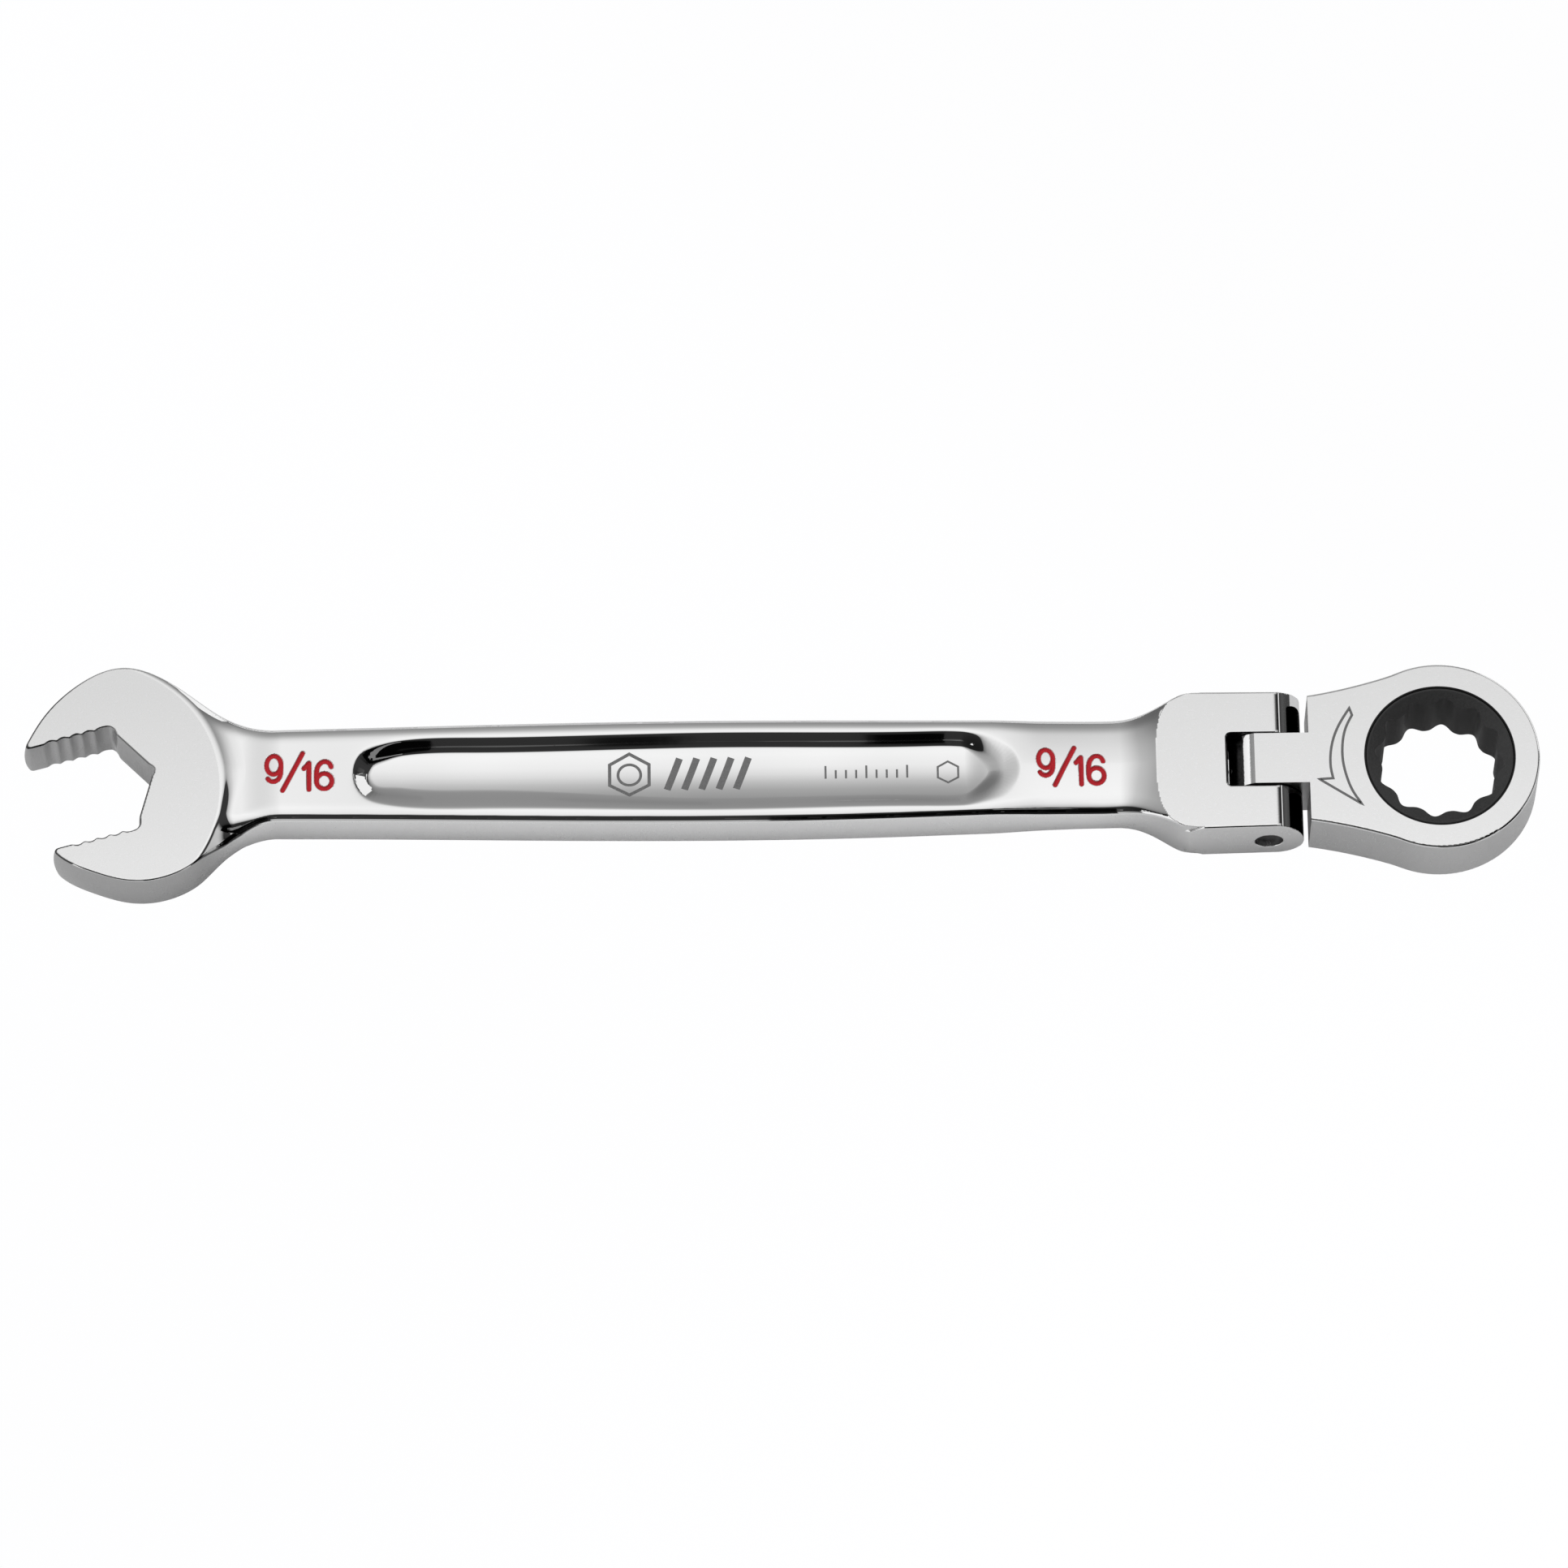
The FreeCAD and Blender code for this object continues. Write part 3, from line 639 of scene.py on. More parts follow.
def make_handle():
    """The polished handle: the distance field on a fine grid, with masks for satin faces and red paint."""
    outline_path, pocket_path, strokes = handle_outline(), pocket_outline(), numeral_strokes()
    xs, ys, zs = ruler(GRID_X), ruler(GRID_Y), ruler(GRID_Z)
    gx, gy = np.meshgrid(xs, ys, indexing="ij")
    plan = plan_distance(gx, gy, distance_to_path(gx, gy, outline_path, True)[0])
    pocket = distance_to_path(gx, gy, pocket_path, True)[0]
    inked = stroke_distance(gx, gy, strokes)
    values = np.empty((len(xs), len(ys), len(zs)), np.float32)
    for k, z in enumerate(zs):
        values[:, :, k] = handle_field(gx, gy, z, plan, pocket, inked)
    vertices, quads = surface_nets(xs, ys, zs, values)

    x0, y0 = vertices[:, 0].copy(), vertices[:, 1].copy()
    outer = distance_to_path(x0, y0, outline_path, True)
    rim = distance_to_path(x0, y0, pocket_path, True)

    def near(x, y, known):
        """A plan distance close to where it was worked out."""
        value, slope_x, slope_y = known
        return value + slope_x * (x - x0) + slope_y * (y - y0)

    def field(v):
        x, y, z = v.T
        plan_here = plan_distance(x, y, near(x, y, outer))
        return handle_field(x, y, z, plan_here, near(x, y, rim), stroke_distance(x, y, strokes))

    vertices, normals = settle(vertices, field)
    piece = mesh_object("handle_forging", vertices, quads, normals)
    x, y = vertices[:, 0], vertices[:, 1]
    plan = plan_distance(x, y, near(x, y, outer))
    mark_surfaces(piece, vertices, normals, plan, half_thickness(x, y, plan, near(x, y, rim)), strokes)
    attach(piece, "handle")
    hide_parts("handle")
    return piece


def satin_share(x, y, normals, walls):
    """Where the handle is satin: the flat faces of the open end and the clevis, and the outer side walls."""
    open_face = 1 - smooth_step(beyond_open_face(x, y), *SATIN_EDGE_BLEND)
    clevis_face = smooth_step(x - clevis_face_edge(y), *SATIN_EDGE_BLEND)
    on_face = smooth_step(np.abs(normals[:, 2]), *SATIN_FACE_UPRIGHT) * np.maximum(open_face, clevis_face)
    blasted_walls = (x < PIVOT_X + PAST_PIVOT) | (np.abs(normals[:, 1]) > SIDEWAYS_WALL)
    return np.maximum(on_face, walls * blasted_walls)


def shade_share(x, y, normals, walls, plan):
    """Where the handle is painted dark: painted shade in the slot and at the foot of the open end's step,
    painted dark reflections where the ears round off and round the open end's face.
    """
    upright = np.abs(normals[:, 2])
    slot = (x > SLOT_FLOOR_X - SLOT_SHADE_PAST_FLOOR) & (np.abs(y) < SLOT_HALF_WIDTH + SLOT_SHADE_PAST_SIDES)
    slot = slot * (1 - smooth_step(upright, *SLOT_SHADE_UPRIGHT))
    left_rim = smooth_step(plan, *LEFT_RIM_PLAN) * (1 - walls) * (y > LEFT_RIM_LOWEST_Y)
    left_rim = left_rim * smooth_step(-x - LEFT_RIM_SLANT * y, *LEFT_RIM_REACH)
    in_corner = (x > JAW_CORNER_X[0]) & (x < JAW_CORNER_X[1]) & (y < JAW_CORNER_HIGHEST_Y)
    corner = in_corner * (beyond_open_face(x, y) > 0) * (1 - walls)
    corner = corner * smooth_step(normals[:, 0], *JAW_CORNER_RIGHTWARD)
    corner = corner * smooth_step(-normals[:, 1], *JAW_CORNER_FRONTWARD)
    ear_line = smooth_step(upright, *EAR_LINE_UPRIGHT) * (1 - smooth_step(upright, *EAR_LINE_END_UPRIGHT))
    ear_line = ear_line * (x > PIVOT_X + PAST_PIVOT) * (plan < -EAR_LINE_INSET)
    return np.maximum.reduce([slot, left_rim, corner, ear_line])


def mark_surfaces(piece, vertices, normals, plan, height, strokes):
    """Stores where the surface is satin, a side wall, darkened by painted shade and painted dark reflections,
    or painted red, and how bright the side walls are painted for their shade.
    """
    x, y, z = vertices.T
    walls = 1 - smooth_step(np.abs(normals[:, 2]), *WALL_UPRIGHT)
    # Painted shade on the side walls: darkest on the open end, lightest along the beam, between the two on
    # the clevis
    tone = JAW_WALL_TONE + (BEAM_WALL_TONE - JAW_WALL_TONE) * smooth_step(x, *BEAM_TONE_BEGINS_X)
    tone = tone + (CLEVIS_WALL_TONE - BEAM_WALL_TONE) * smooth_step(x, *CLEVIS_TONE_BEGINS_X)
    edge_begins, edge_ends = STROKE_RADIUS - INK_EDGE_INSIDE, STROKE_RADIUS + INK_EDGE_OUTSIDE
    ink = 1 - smooth_step(stroke_distance(x, y, strokes), edge_begins, edge_ends)
    set_attribute(piece, "satin", satin_share(x, y, normals, walls))
    set_attribute(piece, "wall", walls)
    set_attribute(piece, "wall_tone", tone)
    set_attribute(piece, "shade", shade_share(x, y, normals, walls, plan))
    set_attribute(piece, "paint", ink * (z > 0) * (z < height + INK_ABOVE_FACE))


# ---- etched marks ----

def ribbon(name, path, width, surface_z, lift=0.012, depth=0.04, closed=False):
    """A thin closed strip along a path, lying on the surface whose height is surface_z(x, y)."""
    p = np.array(path, float)
    ahead = np.roll(p, -1, axis=0) - p
    behind = p - np.roll(p, 1, axis=0)
    if not closed:
        ahead[-1], behind[0] = behind[-1], ahead[0]
    ahead /= np.linalg.norm(ahead, axis=1)[:, None]
    behind /= np.linalg.norm(behind, axis=1)[:, None]
    mean = ahead + behind
    mean /= np.linalg.norm(mean, axis=1)[:, None]
    side = np.stack([-mean[:, 1], mean[:, 0]], axis=1)
    stretch = 1 / np.maximum(np.abs(np.sum(mean * ahead, axis=1)), 0.45)
    rails = []
    for sign, sink in ((1, False), (-1, False), (-1, True), (1, True)):
        spot = p + side * (sign * width / 2 * stretch)[:, None]
        z = surface_z(spot[:, 0], spot[:, 1])
        rails.append(np.column_stack([spot, z - depth if sink else z + lift]))
    vertices = np.concatenate(rails)
    count = len(p)
    faces = []
    for i in range(count if closed else count - 1):
        j = (i + 1) % count
        for rail in range(4):
            after = (rail + 1) % 4
            faces.append((rail * count + i, after * count + i, after * count + j, rail * count + j))
    if not closed:
        faces.append((3 * count, 2 * count, count, 0))
        faces.append((count - 1, 2 * count - 1, 3 * count - 1, 4 * count - 1))
    piece = mesh_object(name, vertices, np.array(faces))
    piece.data.polygons.foreach_set("use_smooth", np.zeros(len(faces), bool))
    return piece


def densify(path, step=0.25):
    """The same path with points no more than step apart."""
    points = []
    for (ax, ay), (bx, by) in zip(path[:-1], path[1:]):
        pieces = max(1, int(math.hypot(bx - ax, by - ay) / step))
        points += [(ax + (bx - ax) * i / pieces, ay + (by - ay) * i / pieces) for i in range(pieces)]
    return points + [path[-1]]


def head_face(x, y):
    return np.full(np.shape(x), HEAD_HIGH[2])


def make_arrow(material):
    """The etched crescent arrow that shows the driving direction on the ratchet head."""
    tail, barb = (-11.32, 6.75), (-15.44, -3.05)
    outer = [tail, (-12.69, 4.5), (-13.6, 2.15), (-13.95, -0.1), (-13.9, -1.8), (-13.68, -2.95)]
    inner = [(-10.1, -6.6), (-11.17, -4.9), (-11.95, -2.75), (-12.39, -0.2), (-12.35, 1.7), (-11.89, 3.95)]
    path = spline(outer) + [barb] + spline(inner + [(-11.0, 5.8)]) + [tail]
    piece = ribbon("direction_arrow_etching", densify(path)[:-1], ARROW_LINE_WIDTH, head_face, closed=True)
    piece.data.materials.append(material)
    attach(piece, "ratchet_head")


def regular_polygon(centre, radius, sides, turn=0):
    angles = [turn + 2 * math.pi * i / sides for i in range(sides)]
    return [(centre[0] + radius * math.cos(a), centre[1] + radius * math.sin(a)) for a in angles]


def make_pocket_marks(material):
    """Plain etched marks in the pocket: a hexagon nut, slanted bars, a row of ticks and a small hexagon."""
    outline, path = handle_outline(), pocket_outline()

    def floor(x, y):
        plan = distance_to_path(x, y, outline, True)[0]
        return half_thickness(x, y, plan, distance_to_path(x, y, path, True)[0])

    nut = regular_polygon(NUT_MARK_CENTRE, 2.9, 6, math.radians(30))
    shapes = [(densify(nut + nut[:1])[:-1], 0.42, True)]
    shapes.append((ellipse(NUT_MARK_CENTRE, 1.45, 1.45, 0, 350, 36), 0.36, True))
    for i in range(BAR_COUNT):
        left = BAR_FIRST_X + BAR_PITCH * i
        shapes.append((densify([(left, -2.4), (left + 1.6, 2.0)]), 0.9, False))
    for i in range(TICK_COUNT):
        tick = TICK_FIRST_X + TICK_PITCH * i
        top = 0.1 if i % 4 else 0.7
        shapes.append((densify([(tick, -1.1), (tick, top)]), FINE_LINE_WIDTH, False))
    small_nut = regular_polygon(SMALL_NUT_MARK_CENTRE, 1.5, 6, math.radians(30))
    shapes.append((densify(small_nut + small_nut[:1])[:-1], FINE_LINE_WIDTH, True))
    for i, (points, width, closed) in enumerate(shapes):
        piece = ribbon(f"pocket_mark_etching_{i:02d}", points, width, floor, closed=closed)
        piece.data.materials.append(material)
        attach(piece, "handle")


# ---- materials ----

def new_material(name):
    material = bpy.data.materials.new(name)
    material.use_nodes = True
    nodes = material.node_tree.nodes
    nodes.clear()
    output = nodes.new("ShaderNodeOutputMaterial")
    shader = nodes.new("ShaderNodeBsdfPrincipled")
    material.node_tree.links.new(shader.outputs[0], output.inputs[0])
    return material, shader


def noise(material, scale, detail=3.0):
    """A noise texture in object space, spread over 0 to 1; scale is in cells per metre."""
    nodes, links = material.node_tree.nodes, material.node_tree.links
    place = nodes.new("ShaderNodeTexCoord")
    texture = nodes.new("ShaderNodeTexNoise")
    texture.inputs["Scale"].default_value = scale
    texture.inputs["Detail"].default_value = detail
    links.new(place.outputs["Object"], texture.inputs["Vector"])
    spread = nodes.new("ShaderNodeMapRange")
    spread.inputs["From Min"].default_value, spread.inputs["From Max"].default_value = 0.3, 0.7
    links.new(texture.outputs["Fac"], spread.inputs["Value"])
    return spread.outputs["Result"]


def bump(material, height, strength, distance):
    nodes, links = material.node_tree.nodes, material.node_tree.links
    node = nodes.new("ShaderNodeBump")
    node.inputs["Strength"].default_value = strength
    node.inputs["Distance"].default_value = distance
    links.new(height, node.inputs["Height"])
    return node.outputs["Normal"]


def remap(owner, value, first, last, low, high):
    """value from first..last spread over low..high, in the node tree of a material or the world."""
    nodes, links = owner.node_tree.nodes, owner.node_tree.links
    node = nodes.new("ShaderNodeMapRange")
    node.inputs["From Min"].default_value = first
    node.inputs["From Max"].default_value = last
    node.inputs["To Min"].default_value = low
    node.inputs["To Max"].default_value = high
    links.new(value, node.inputs["Value"])
    return node.outputs["Result"]


def mix(material, share, first, second):
    """Numbers or colours mixed by share; each input is a socket or a constant."""
    nodes, links = material.node_tree.nodes, material.node_tree.links
    node = nodes.new("ShaderNodeMix")
    colours = any(isinstance(v, tuple) or getattr(v, "type", "") == "RGBA" for v in (first, second))
    node.data_type = "RGBA" if colours else "FLOAT"
    inputs = [s for s in node.inputs if s.enabled]
    for socket, value in zip(inputs, (share, first, second)):
        if isinstance(value, bpy.types.NodeSocket):
            links.new(value, socket)
        else:
            socket.default_value = value
    return [s for s in node.outputs if s.enabled][0]


def attribute(material, name):
    node = material.node_tree.nodes.new("ShaderNodeAttribute")
    node.attribute_name = name
    return node.outputs["Fac"]


def object_position(material):
    """The position in object space, in metres, as separate X, Y and Z."""
    nodes, links = material.node_tree.nodes, material.node_tree.links
    place = nodes.new("ShaderNodeTexCoord")
    split = nodes.new("ShaderNodeSeparateXYZ")
    links.new(place.outputs["Object"], split.inputs[0])
    return split.outputs


def calculate(owner, operation, *values):
    """One step of arithmetic on sockets or constants, in the node tree of a material or the world."""
    nodes, links = owner.node_tree.nodes, owner.node_tree.links
    node = nodes.new("ShaderNodeMath")
    node.operation = operation
    for socket, value in zip(node.inputs, values):
        if isinstance(value, bpy.types.NodeSocket):
            links.new(value, socket)
        else:
            socket.default_value = value
    return node.outputs[0]


def face_tone(material, grain):
    """Tone of a blasted face: fine grain, and painted shade that makes it a little darker towards the far
    side of the tool.
    """
    y, half = object_position(material)["Y"], FACE_HALF_WIDTH * MM
    across = remap(material, y, -half, half, FACE_NEAR_TONE, FACE_FAR_TONE)
    return calculate(material, "MULTIPLY", across, remap(material, grain, 0, 1, *GRAIN_TONE))


def tone_colour(material, tone):
    """A neutral colour from one number."""
    colour = material.node_tree.nodes.new("ShaderNodeCombineColor")
    for socket in colour.inputs[:3]:
        material.node_tree.links.new(tone, socket)
    return colour.outputs[0]


def grey(value, alpha=1.0):
    return (value, value, value * 1.005, alpha)


def chrome_handle():
    """Mirror chrome with bead-blasted faces, satin walls and red paint in the numerals, with painted shade on
    the walls, faces, slot and step foot and painted dark reflections along the ears and the left rim.
    """
    material, shader = new_material("chrome_polished_and_satin")
    links = material.node_tree.links
    satin, paint, wall, shade = (attribute(material, n) for n in ("satin", "paint", "wall", "shade"))
    grain = noise(material, GRAIN_SCALE, 2)
    waves = noise(material, WAVE_SCALE, 1)
    polished_tone = remap(material, waves, 0, 1, *POLISHED_TONE)
    tone = mix(material, satin, polished_tone, face_tone(material, grain))
    # Painted shade: the side walls take the darker tone held in wall_tone
    tone = mix(material, wall, tone, attribute(material, "wall_tone"))
    # Painted shade in the slot and at the foot of the open end's step, and painted dark reflections at the
    # ears and the left rim
    tone = mix(material, shade, tone, remap(material, grain, 0, 1, *SHADE_TONE))
    red = material.node_tree.nodes.new("ShaderNodeRGB")
    red.outputs[0].default_value = PAINT_RED
    colour = mix(material, paint, tone_colour(material, tone), red.outputs[0])
    links.new(colour, shader.inputs["Base Color"])
    polished_rough = remap(material, waves, 0, 1, *POLISHED_ROUGHNESS)
    rough = mix(material, satin, polished_rough, remap(material, grain, 0, 1, *BLASTED_ROUGHNESS))
    links.new(mix(material, paint, rough, PAINT_ROUGHNESS), shader.inputs["Roughness"])
    shader.inputs["Specular IOR Level"].default_value = 0.25
    links.new(mix(material, paint, 1.0, 0.0), shader.inputs["Metallic"])
    height = mix(material, satin, 0.5, grain)
    links.new(bump(material, height, 0.2, 0.01 * MM), shader.inputs["Normal"])
    return material


def satin_metal(name, tone, rough, grain_scale=GRAIN_SCALE, spread=0.06, metallic=1.0, strength=0.25):
    """Fine-grained metal whose tone and roughness vary with the grain."""
    material, shader = new_material(name)
    links = material.node_tree.links
    grain = noise(material, grain_scale, 2)
    colour = mix(material, grain, grey(tone - spread), grey(tone + spread))
    links.new(colour, shader.inputs["Base Color"])
    links.new(remap(material, grain, 0, 1, rough - 0.04, rough + 0.04), shader.inputs["Roughness"])
    links.new(bump(material, grain, strength, 0.02 * MM), shader.inputs["Normal"])
    shader.inputs["Metallic"].default_value = metallic
    return material


def head_metal():
    """Blasted chrome for the head: light faces, walls darkened by painted shade, polished edges, and painted
    shade on the tang's end and on the lip round the gear.
    """
    material, shader = new_material("chrome_satin_head")
    nodes, links = material.node_tree.nodes, material.node_tree.links
    grain = noise(material, GRAIN_SCALE, 2)
    place = nodes.new("ShaderNodeTexCoord")
    normal = nodes.new("ShaderNodeSeparateXYZ")
    links.new(place.outputs["Normal"], normal.inputs[0])
    upright = calculate(material, "ABSOLUTE", normal.outputs["Z"])
    walls = remap(material, upright, *HEAD_WALL_UPRIGHT, 1, 0)
    flat = remap(material, upright, *HEAD_FLAT_UPRIGHT, 0, 1)
    tone = mix(material, flat, HEAD_EDGE_TONE, face_tone(material, grain))
    # Painted shade: the upright walls get a darker tone
    tone = mix(material, walls, tone, HEAD_WALL_TONE)
    # Painted shade on the tang's rounded end, darker where it faces further to the left
    to_left = remap(material, normal.outputs["X"], -0.45, -0.55, 0, 1)
    square = remap(material, calculate(material, "ABSOLUTE", normal.outputs["Y"]), 0.05, 0.15, 1, 0)
    tang_end = calculate(material, "MULTIPLY", to_left, square)
    tone = mix(material, tang_end, tone, remap(material, upright, 0.2, 0.9, 0.0, 0.95))
    x, y = (object_position(material)[axis] for axis in "XY")
    x_squared, y_squared = (calculate(material, "MULTIPLY", value, value) for value in (x, y))
    reach = calculate(material, "SQRT", calculate(material, "ADD", x_squared, y_squared))
    # Painted shade: a dark ring on the lip round the gear, where the gap lies in shade
    lip_end = (LIP_SHADE_RADIUS + LIP_SHADE_BLEND) * MM
    outside_bore = remap(material, reach, LIP_SHADE_RADIUS * MM, lip_end, LIP_TONE, 1)
    tone = calculate(material, "MULTIPLY", tone, outside_bore)
    links.new(tone_colour(material, tone), shader.inputs["Base Color"])
    satin = calculate(material, "MAXIMUM", walls, flat)
    blasted_rough = remap(material, grain, 0, 1, *BLASTED_ROUGHNESS)
    links.new(mix(material, satin, HEAD_EDGE_ROUGHNESS, blasted_rough), shader.inputs["Roughness"])
    links.new(bump(material, grain, 0.2, 0.01 * MM), shader.inputs["Normal"])
    shader.inputs["Metallic"].default_value = 1.0
    return material


def paint_nodes():
    """Puts a finished material on every CAD node that is shown."""
    looks = {
        "ratchet_head": head_metal(),
        "drive_gear": satin_metal("black_oxide", 0.021, 0.55, 4000, 0.005, 0.0, 0.4),
        "retaining_ring": satin_metal("ring_spring_steel", 0.35, 0.35),
        # The pin's dark tone is painted shade for its ends, which sit half a millimetre down their holes
        "pivot_pin": satin_metal("pin_steel_painted_shade", 0.08, 0.6, 5000, 0.02, 0.3),
        "detent_ball": satin_metal("ball_bearing_steel", 0.7, 0.1, 3000, 0.02, 1.0, 0.05),
        "detent_spring": satin_metal("detent_spring_steel", 0.4, 0.3),
        "pawl_upper": satin_metal("pawl_hardened_steel", 0.3, 0.35),
        "pawl_lower": satin_metal("pawl_hardened_steel_lower", 0.3, 0.35),
        "pawl_spring_upper": satin_metal("pawl_spring_steel", 0.4, 0.3),
        "pawl_spring_lower": satin_metal("pawl_spring_steel_lower", 0.4, 0.3),
    }
    for name, material in looks.items():
        mesh = frame["nodes"][name].data
        for i in range(len(mesh.materials)):
            mesh.materials[i] = material


# ---- studio ----

# What the metal mirrors, by direction: its lean to the right (x) and to the far side (y), its height (z) and
# its angle from the far horizon (0) over the top (90) to the near horizon (180).
# Brightness against that angle
SKY_BY_ANGLE = [
    (0, 0.29), (30, 0.31), (40, 0.35), (47, 0.44), (53, 0.59),
    (60, 0.83), (66, 0.96), (76, 1.04), (92, 0.96), (100, 0.8),
    (106, 0.5), (109, 0.034), (152, 0.03), (158, 0.5), (178, 0.5),
]
# Factor on it against the lean to the left (-1) or to the right (1)
SKY_BY_LEAN = [
    (-1.0, 0.5), (-0.75, 0.35), (-0.52, 0.45), (-0.32, 0.62), (-0.2, 0.84), (-0.1, 1.0),
    (0.12, 1.0), (0.27, 0.88), (0.45, 0.55), (0.49, 0.4), (0.51, 0.04),
    (0.60, 0.04), (0.62, 1.1), (0.69, 1.1), (0.71, 0.04), (0.9, 0.2),
]
# Low and near directions on the right lean further into the dark screen: (where that starts, how strongly)
PUSH_BELOW = (0.75, 0.35)
PUSH_NEARER = (0.4, 0.4)
# The lean stops inside the dark screen, except on the far side
SCREEN_LEAN = 0.56
SCREEN_OPENS_Y, SCREEN_OPENING_SPEED = 0.37, 30
# White card low on the far right and one on the left
RIGHT_CARD_X, RIGHT_CARD_Y, RIGHT_CARD_TOP = 0.3, 0.43, 0.5
LEFT_CARD_X, LEFT_CARD_TOP = -0.58, 0.55
# Dim strip in the dark front
STRIP_X = (0.1, 0.5)
STRIP_ANGLE, STRIP_HALF_ANGLE, STRIP_BRIGHTNESS = 126.0, 4.5, 0.22
# Grey screens low at the front right and at the right: brightness against the height, then the lean at which
# each begins and how fast it reaches full strength
LOW_SCREEN = [(0.0, 0.42), (0.25, 0.6), (0.42, 0.5), (0.6, 0.03), (1.0, 0.0)]
FRONT_SCREEN_X, FRONT_SCREEN_Y = (0.45, 6), (-0.57, 12)
RIGHT_SCREEN_X = (0.75, 5)
RIGHT_SCREEN_MIDDLE_Y, RIGHT_SCREEN_HALF_Y = 0.05, 0.3


def brightness_curve(world, value, stops, low, high):
    """Brightness read off a list of (position, brightness) between low and high."""
    nodes, links = world.node_tree.nodes, world.node_tree.links
    ramp = nodes.new("ShaderNodeValToRGB")
    elements = ramp.color_ramp.elements
    for i, (position, brightness) in enumerate(stops):
        element = elements[i] if i < 2 else elements.new(1.0)
        element.position = (position - low) / (high - low)
        element.color = (brightness, brightness, brightness, 1)
    links.new(remap(world, value, low, high, 0, 1), ramp.inputs[0])
    return ramp.outputs[0]


def past(world, value, start, speed):
    """How far value is past start, times speed."""
    return calculate(world, "MULTIPLY", calculate(world, "SUBTRACT", value, start), speed)


def before(world, value, start, speed):
    """How far value is short of start, times speed."""
    return calculate(world, "MULTIPLY", calculate(world, "SUBTRACT", start, value), speed)


def sky_brightness(world, x, y, z, angle):
    """White from above, dark to the front and behind a screen on the right."""
    near = calculate(world, "MAXIMUM", before(world, y, *PUSH_NEARER), 0.0)
    push = calculate(world, "ADD", before(world, z, *PUSH_BELOW), near)
    push = calculate(world, "MULTIPLY", push, calculate(world, "GREATER_THAN", x, 0.0))
    opening = calculate(world, "MAXIMUM", past(world, y, SCREEN_OPENS_Y, SCREEN_OPENING_SPEED), 0.0)
    furthest = calculate(world, "ADD", opening, SCREEN_LEAN)
    lean = calculate(world, "MINIMUM", calculate(world, "ADD", x, push), furthest)
    over = brightness_curve(world, angle, SKY_BY_ANGLE, 0, 180)
    return calculate(world, "MULTIPLY", over, brightness_curve(world, lean, SKY_BY_LEAN, -1, 1))


def card_brightness(world, x, y, z):
    """The white cards low on the far right and on the left."""
    right = calculate(world, "GREATER_THAN", x, RIGHT_CARD_X)
    right = calculate(world, "MULTIPLY", right, calculate(world, "GREATER_THAN", y, RIGHT_CARD_Y))
    right = calculate(world, "MULTIPLY", right, calculate(world, "LESS_THAN", z, RIGHT_CARD_TOP))
    left = calculate(world, "LESS_THAN", x, LEFT_CARD_X)
    left = calculate(world, "MULTIPLY", left, calculate(world, "LESS_THAN", z, LEFT_CARD_TOP))
    return calculate(world, "MAXIMUM", right, left)


def strip_brightness(world, x, angle):
    """The dim strip in the dark front."""
    strip = calculate(world, "GREATER_THAN", x, STRIP_X[0])
    strip = calculate(world, "MULTIPLY", strip, calculate(world, "LESS_THAN", x, STRIP_X[1]))
    at_angle = calculate(world, "COMPARE", angle, STRIP_ANGLE, STRIP_HALF_ANGLE)
    return calculate(world, "MULTIPLY", calculate(world, "MULTIPLY", strip, at_angle), STRIP_BRIGHTNESS)


def low_screen_brightness(world, x, y, z):
    """The grey screens low at the front right and at the right."""
    front = calculate(world, "MINIMUM", past(world, x, *FRONT_SCREEN_X), before(world, y, *FRONT_SCREEN_Y))
    beside = calculate(world, "COMPARE", y, RIGHT_SCREEN_MIDDLE_Y, RIGHT_SCREEN_HALF_Y)
    right = calculate(world, "MULTIPLY", past(world, x, *RIGHT_SCREEN_X), beside)
    share = calculate(world, "MAXIMUM", calculate(world, "MAXIMUM", front, right), 0.0)
    share = calculate(world, "MINIMUM", share, 1.0)
    return calculate(world, "MULTIPLY", brightness_curve(world, z, LOW_SCREEN, 0, 1), share)


def studio_world():
    """The surroundings that the polished metal mirrors: soft white with dark and grey screens."""
    world = bpy.data.worlds.new("studio")
    bpy.context.scene.world = world
    world.use_nodes = True
    nodes, links = world.node_tree.nodes, world.node_tree.links
    nodes.clear()
    output = nodes.new("ShaderNodeOutputWorld")
    background = nodes.new("ShaderNodeBackground")
    links.new(background.outputs[0], output.inputs[0])
    place = nodes.new("ShaderNodeTexCoord")
    split = nodes.new("ShaderNodeSeparateXYZ")
    links.new(place.outputs["Generated"], split.inputs[0])
    x, y, z = (split.outputs[axis] for axis in "XYZ")
    angle = calculate(world, "DEGREES", calculate(world, "ARCTAN2", z, y))
    strength = sky_brightness(world, x, y, z, angle)
    for part in (
        strip_brightness(world, x, angle),
        card_brightness(world, x, y, z),
        low_screen_brightness(world, x, y, z),
    ):
        strength = calculate(world, "MAXIMUM", strength, part)
    links.new(strength, background.inputs["Strength"])
    background.inputs["Color"].default_value = (1, 1, 1, 1)


FLOOR_HALF_SIZE, FLOOR_DROP = 3.0, 0.012
FLOOR_MOTTLE_SCALE = 3


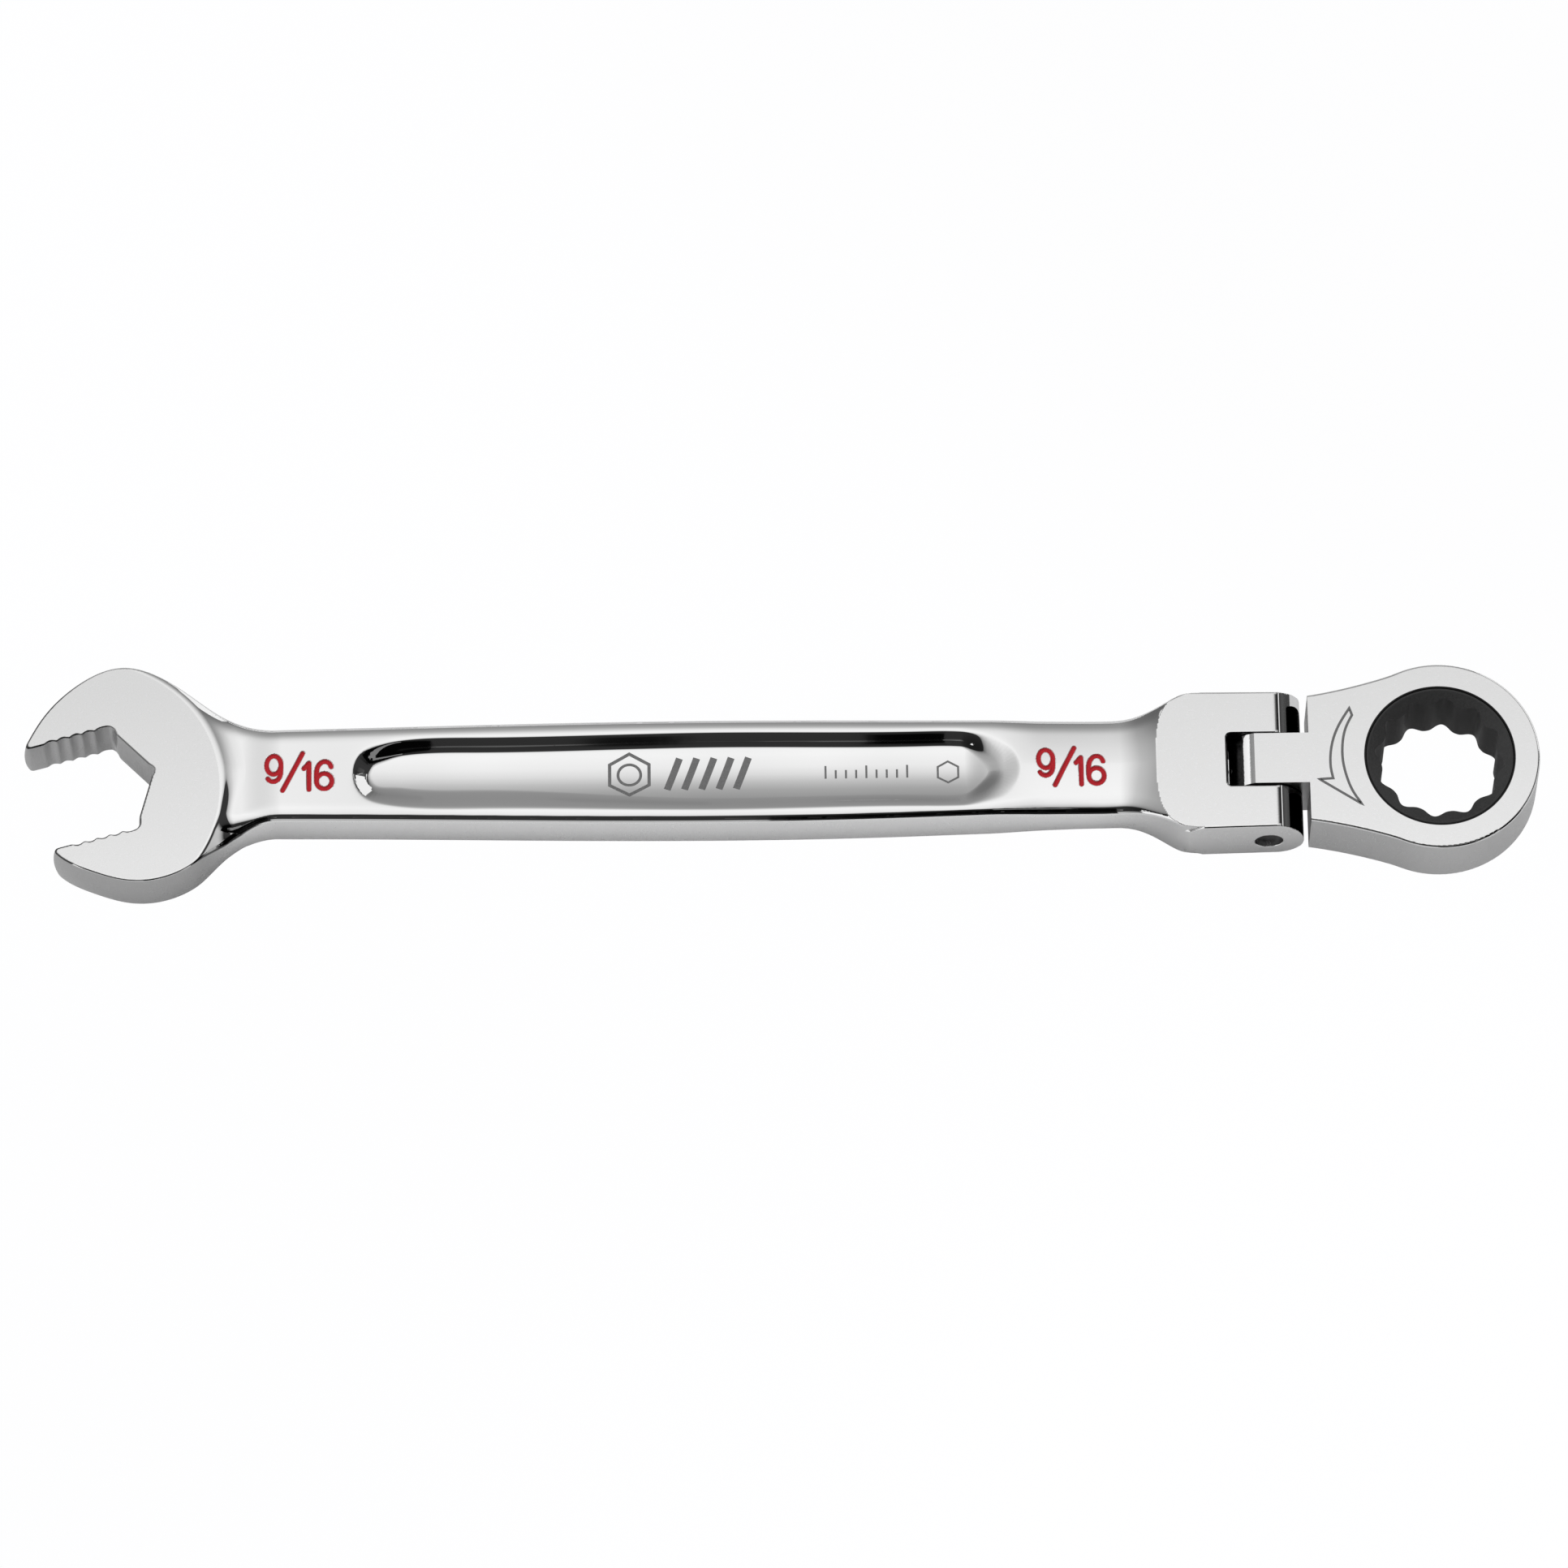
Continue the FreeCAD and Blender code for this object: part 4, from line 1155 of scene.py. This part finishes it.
def studio_floor():
    """A plain pale floor just below the tool: pure white to the camera, softly shaded in the reflections."""
    half, below = FLOOR_HALF_SIZE, HEAD_LOW[2] * MM - FLOOR_DROP
    corners = [(-half, -half, below), (half, -half, below), (half, half, below), (-half, half, below)]
    mesh = bpy.data.meshes.new("floor")
    mesh.from_pydata(corners, [], [(0, 1, 2, 3)])
    floor = bpy.data.objects.new("floor", mesh)
    bpy.context.scene.collection.objects.link(floor)
    material, shader = new_material("floor_pale")
    nodes, links = material.node_tree.nodes, material.node_tree.links
    mottle = noise(material, FLOOR_MOTTLE_SCALE)
    links.new(mix(material, mottle, grey(0.66), grey(0.70)), shader.inputs["Base Color"])
    shader.inputs["Roughness"].default_value = 0.9
    shader.inputs["Specular IOR Level"].default_value = 0.0
    glow, choose, rays = (nodes.new(f"ShaderNode{kind}") for kind in ("Emission", "MixShader", "LightPath"))
    links.new(mix(material, mottle, grey(0.985), grey(1.0)), glow.inputs["Color"])
    links.new(rays.outputs["Is Camera Ray"], choose.inputs[0])
    links.new(shader.outputs[0], choose.inputs[1])
    links.new(glow.outputs[0], choose.inputs[2])
    links.new(choose.outputs[0], [node for node in nodes if node.type == "OUTPUT_MATERIAL"][0].inputs[0])
    mesh.materials.append(material)


TOOL_MIDDLE = Vector((-0.085, 0, 0))


def studio_lights():
    """Two large soft boxes that brighten the floor and the upward faces."""
    for name, place, size, power in (
        ("soft_box_left", (-0.6, 0.5, 1.2), 1.2, 9.0),
        ("soft_box_right", (0.5, 0.3, 1.3), 1.2, 7.0),
    ):
        data = bpy.data.lights.new(name, "AREA")
        data.size = size
        data.energy = power
        light = bpy.data.objects.new(name, data)
        light.location = place
        light.rotation_mode = "QUATERNION"
        light.rotation_quaternion = (TOOL_MIDDLE - Vector(place)).to_track_quat("-Z", "Y")
        light.visible_glossy = False
        bpy.context.scene.collection.objects.link(light)


# Elevation, azimuth and roll in degrees; distances in metres; sensor and lens in millimetres
CAMERA_ANGLES = (66.393, -0.176, -0.647)
CAMERA_TARGET = Vector((-0.08351, -0.00062, -0.00023))
CAMERA_DISTANCE = 1.32028
CAMERA_SENSOR, CAMERA_LENS = 36.0, 237.5


def studio_camera():
    """Long lens, high above the front of the tool, turned very slightly."""
    elevation, azimuth, roll = (math.radians(angle) for angle in CAMERA_ANGLES)
    back = Vector((
        math.sin(azimuth) * math.cos(elevation), -math.cos(azimuth) * math.cos(elevation), math.sin(elevation)
    ))
    right = Vector((math.cos(azimuth), math.sin(azimuth), 0))
    up = back.cross(right)
    turned_right = right * math.cos(roll) + up * math.sin(roll)
    turned_up = up * math.cos(roll) - right * math.sin(roll)
    data = bpy.data.cameras.new("camera")
    data.sensor_width, data.lens = CAMERA_SENSOR, CAMERA_LENS
    data.clip_start, data.clip_end = 0.05, 20.0
    camera = bpy.data.objects.new("camera", data)
    camera.matrix_world = Matrix.Translation(CAMERA_TARGET + back * CAMERA_DISTANCE) @ Matrix(
        (turned_right, turned_up, back)
    ).transposed().to_4x4()
    bpy.context.scene.collection.objects.link(camera)
    bpy.context.scene.camera = camera


make_handle().data.materials.append(chrome_handle())
etching = satin_metal("etched_grey", 0.2, 0.5, 6000, 0.03, 0.7)
make_arrow(etching)
make_pocket_marks(etching)
paint_nodes()
studio_world()
studio_floor()
studio_lights()
studio_camera()
bpy.context.scene.view_settings.view_transform = "Standard"
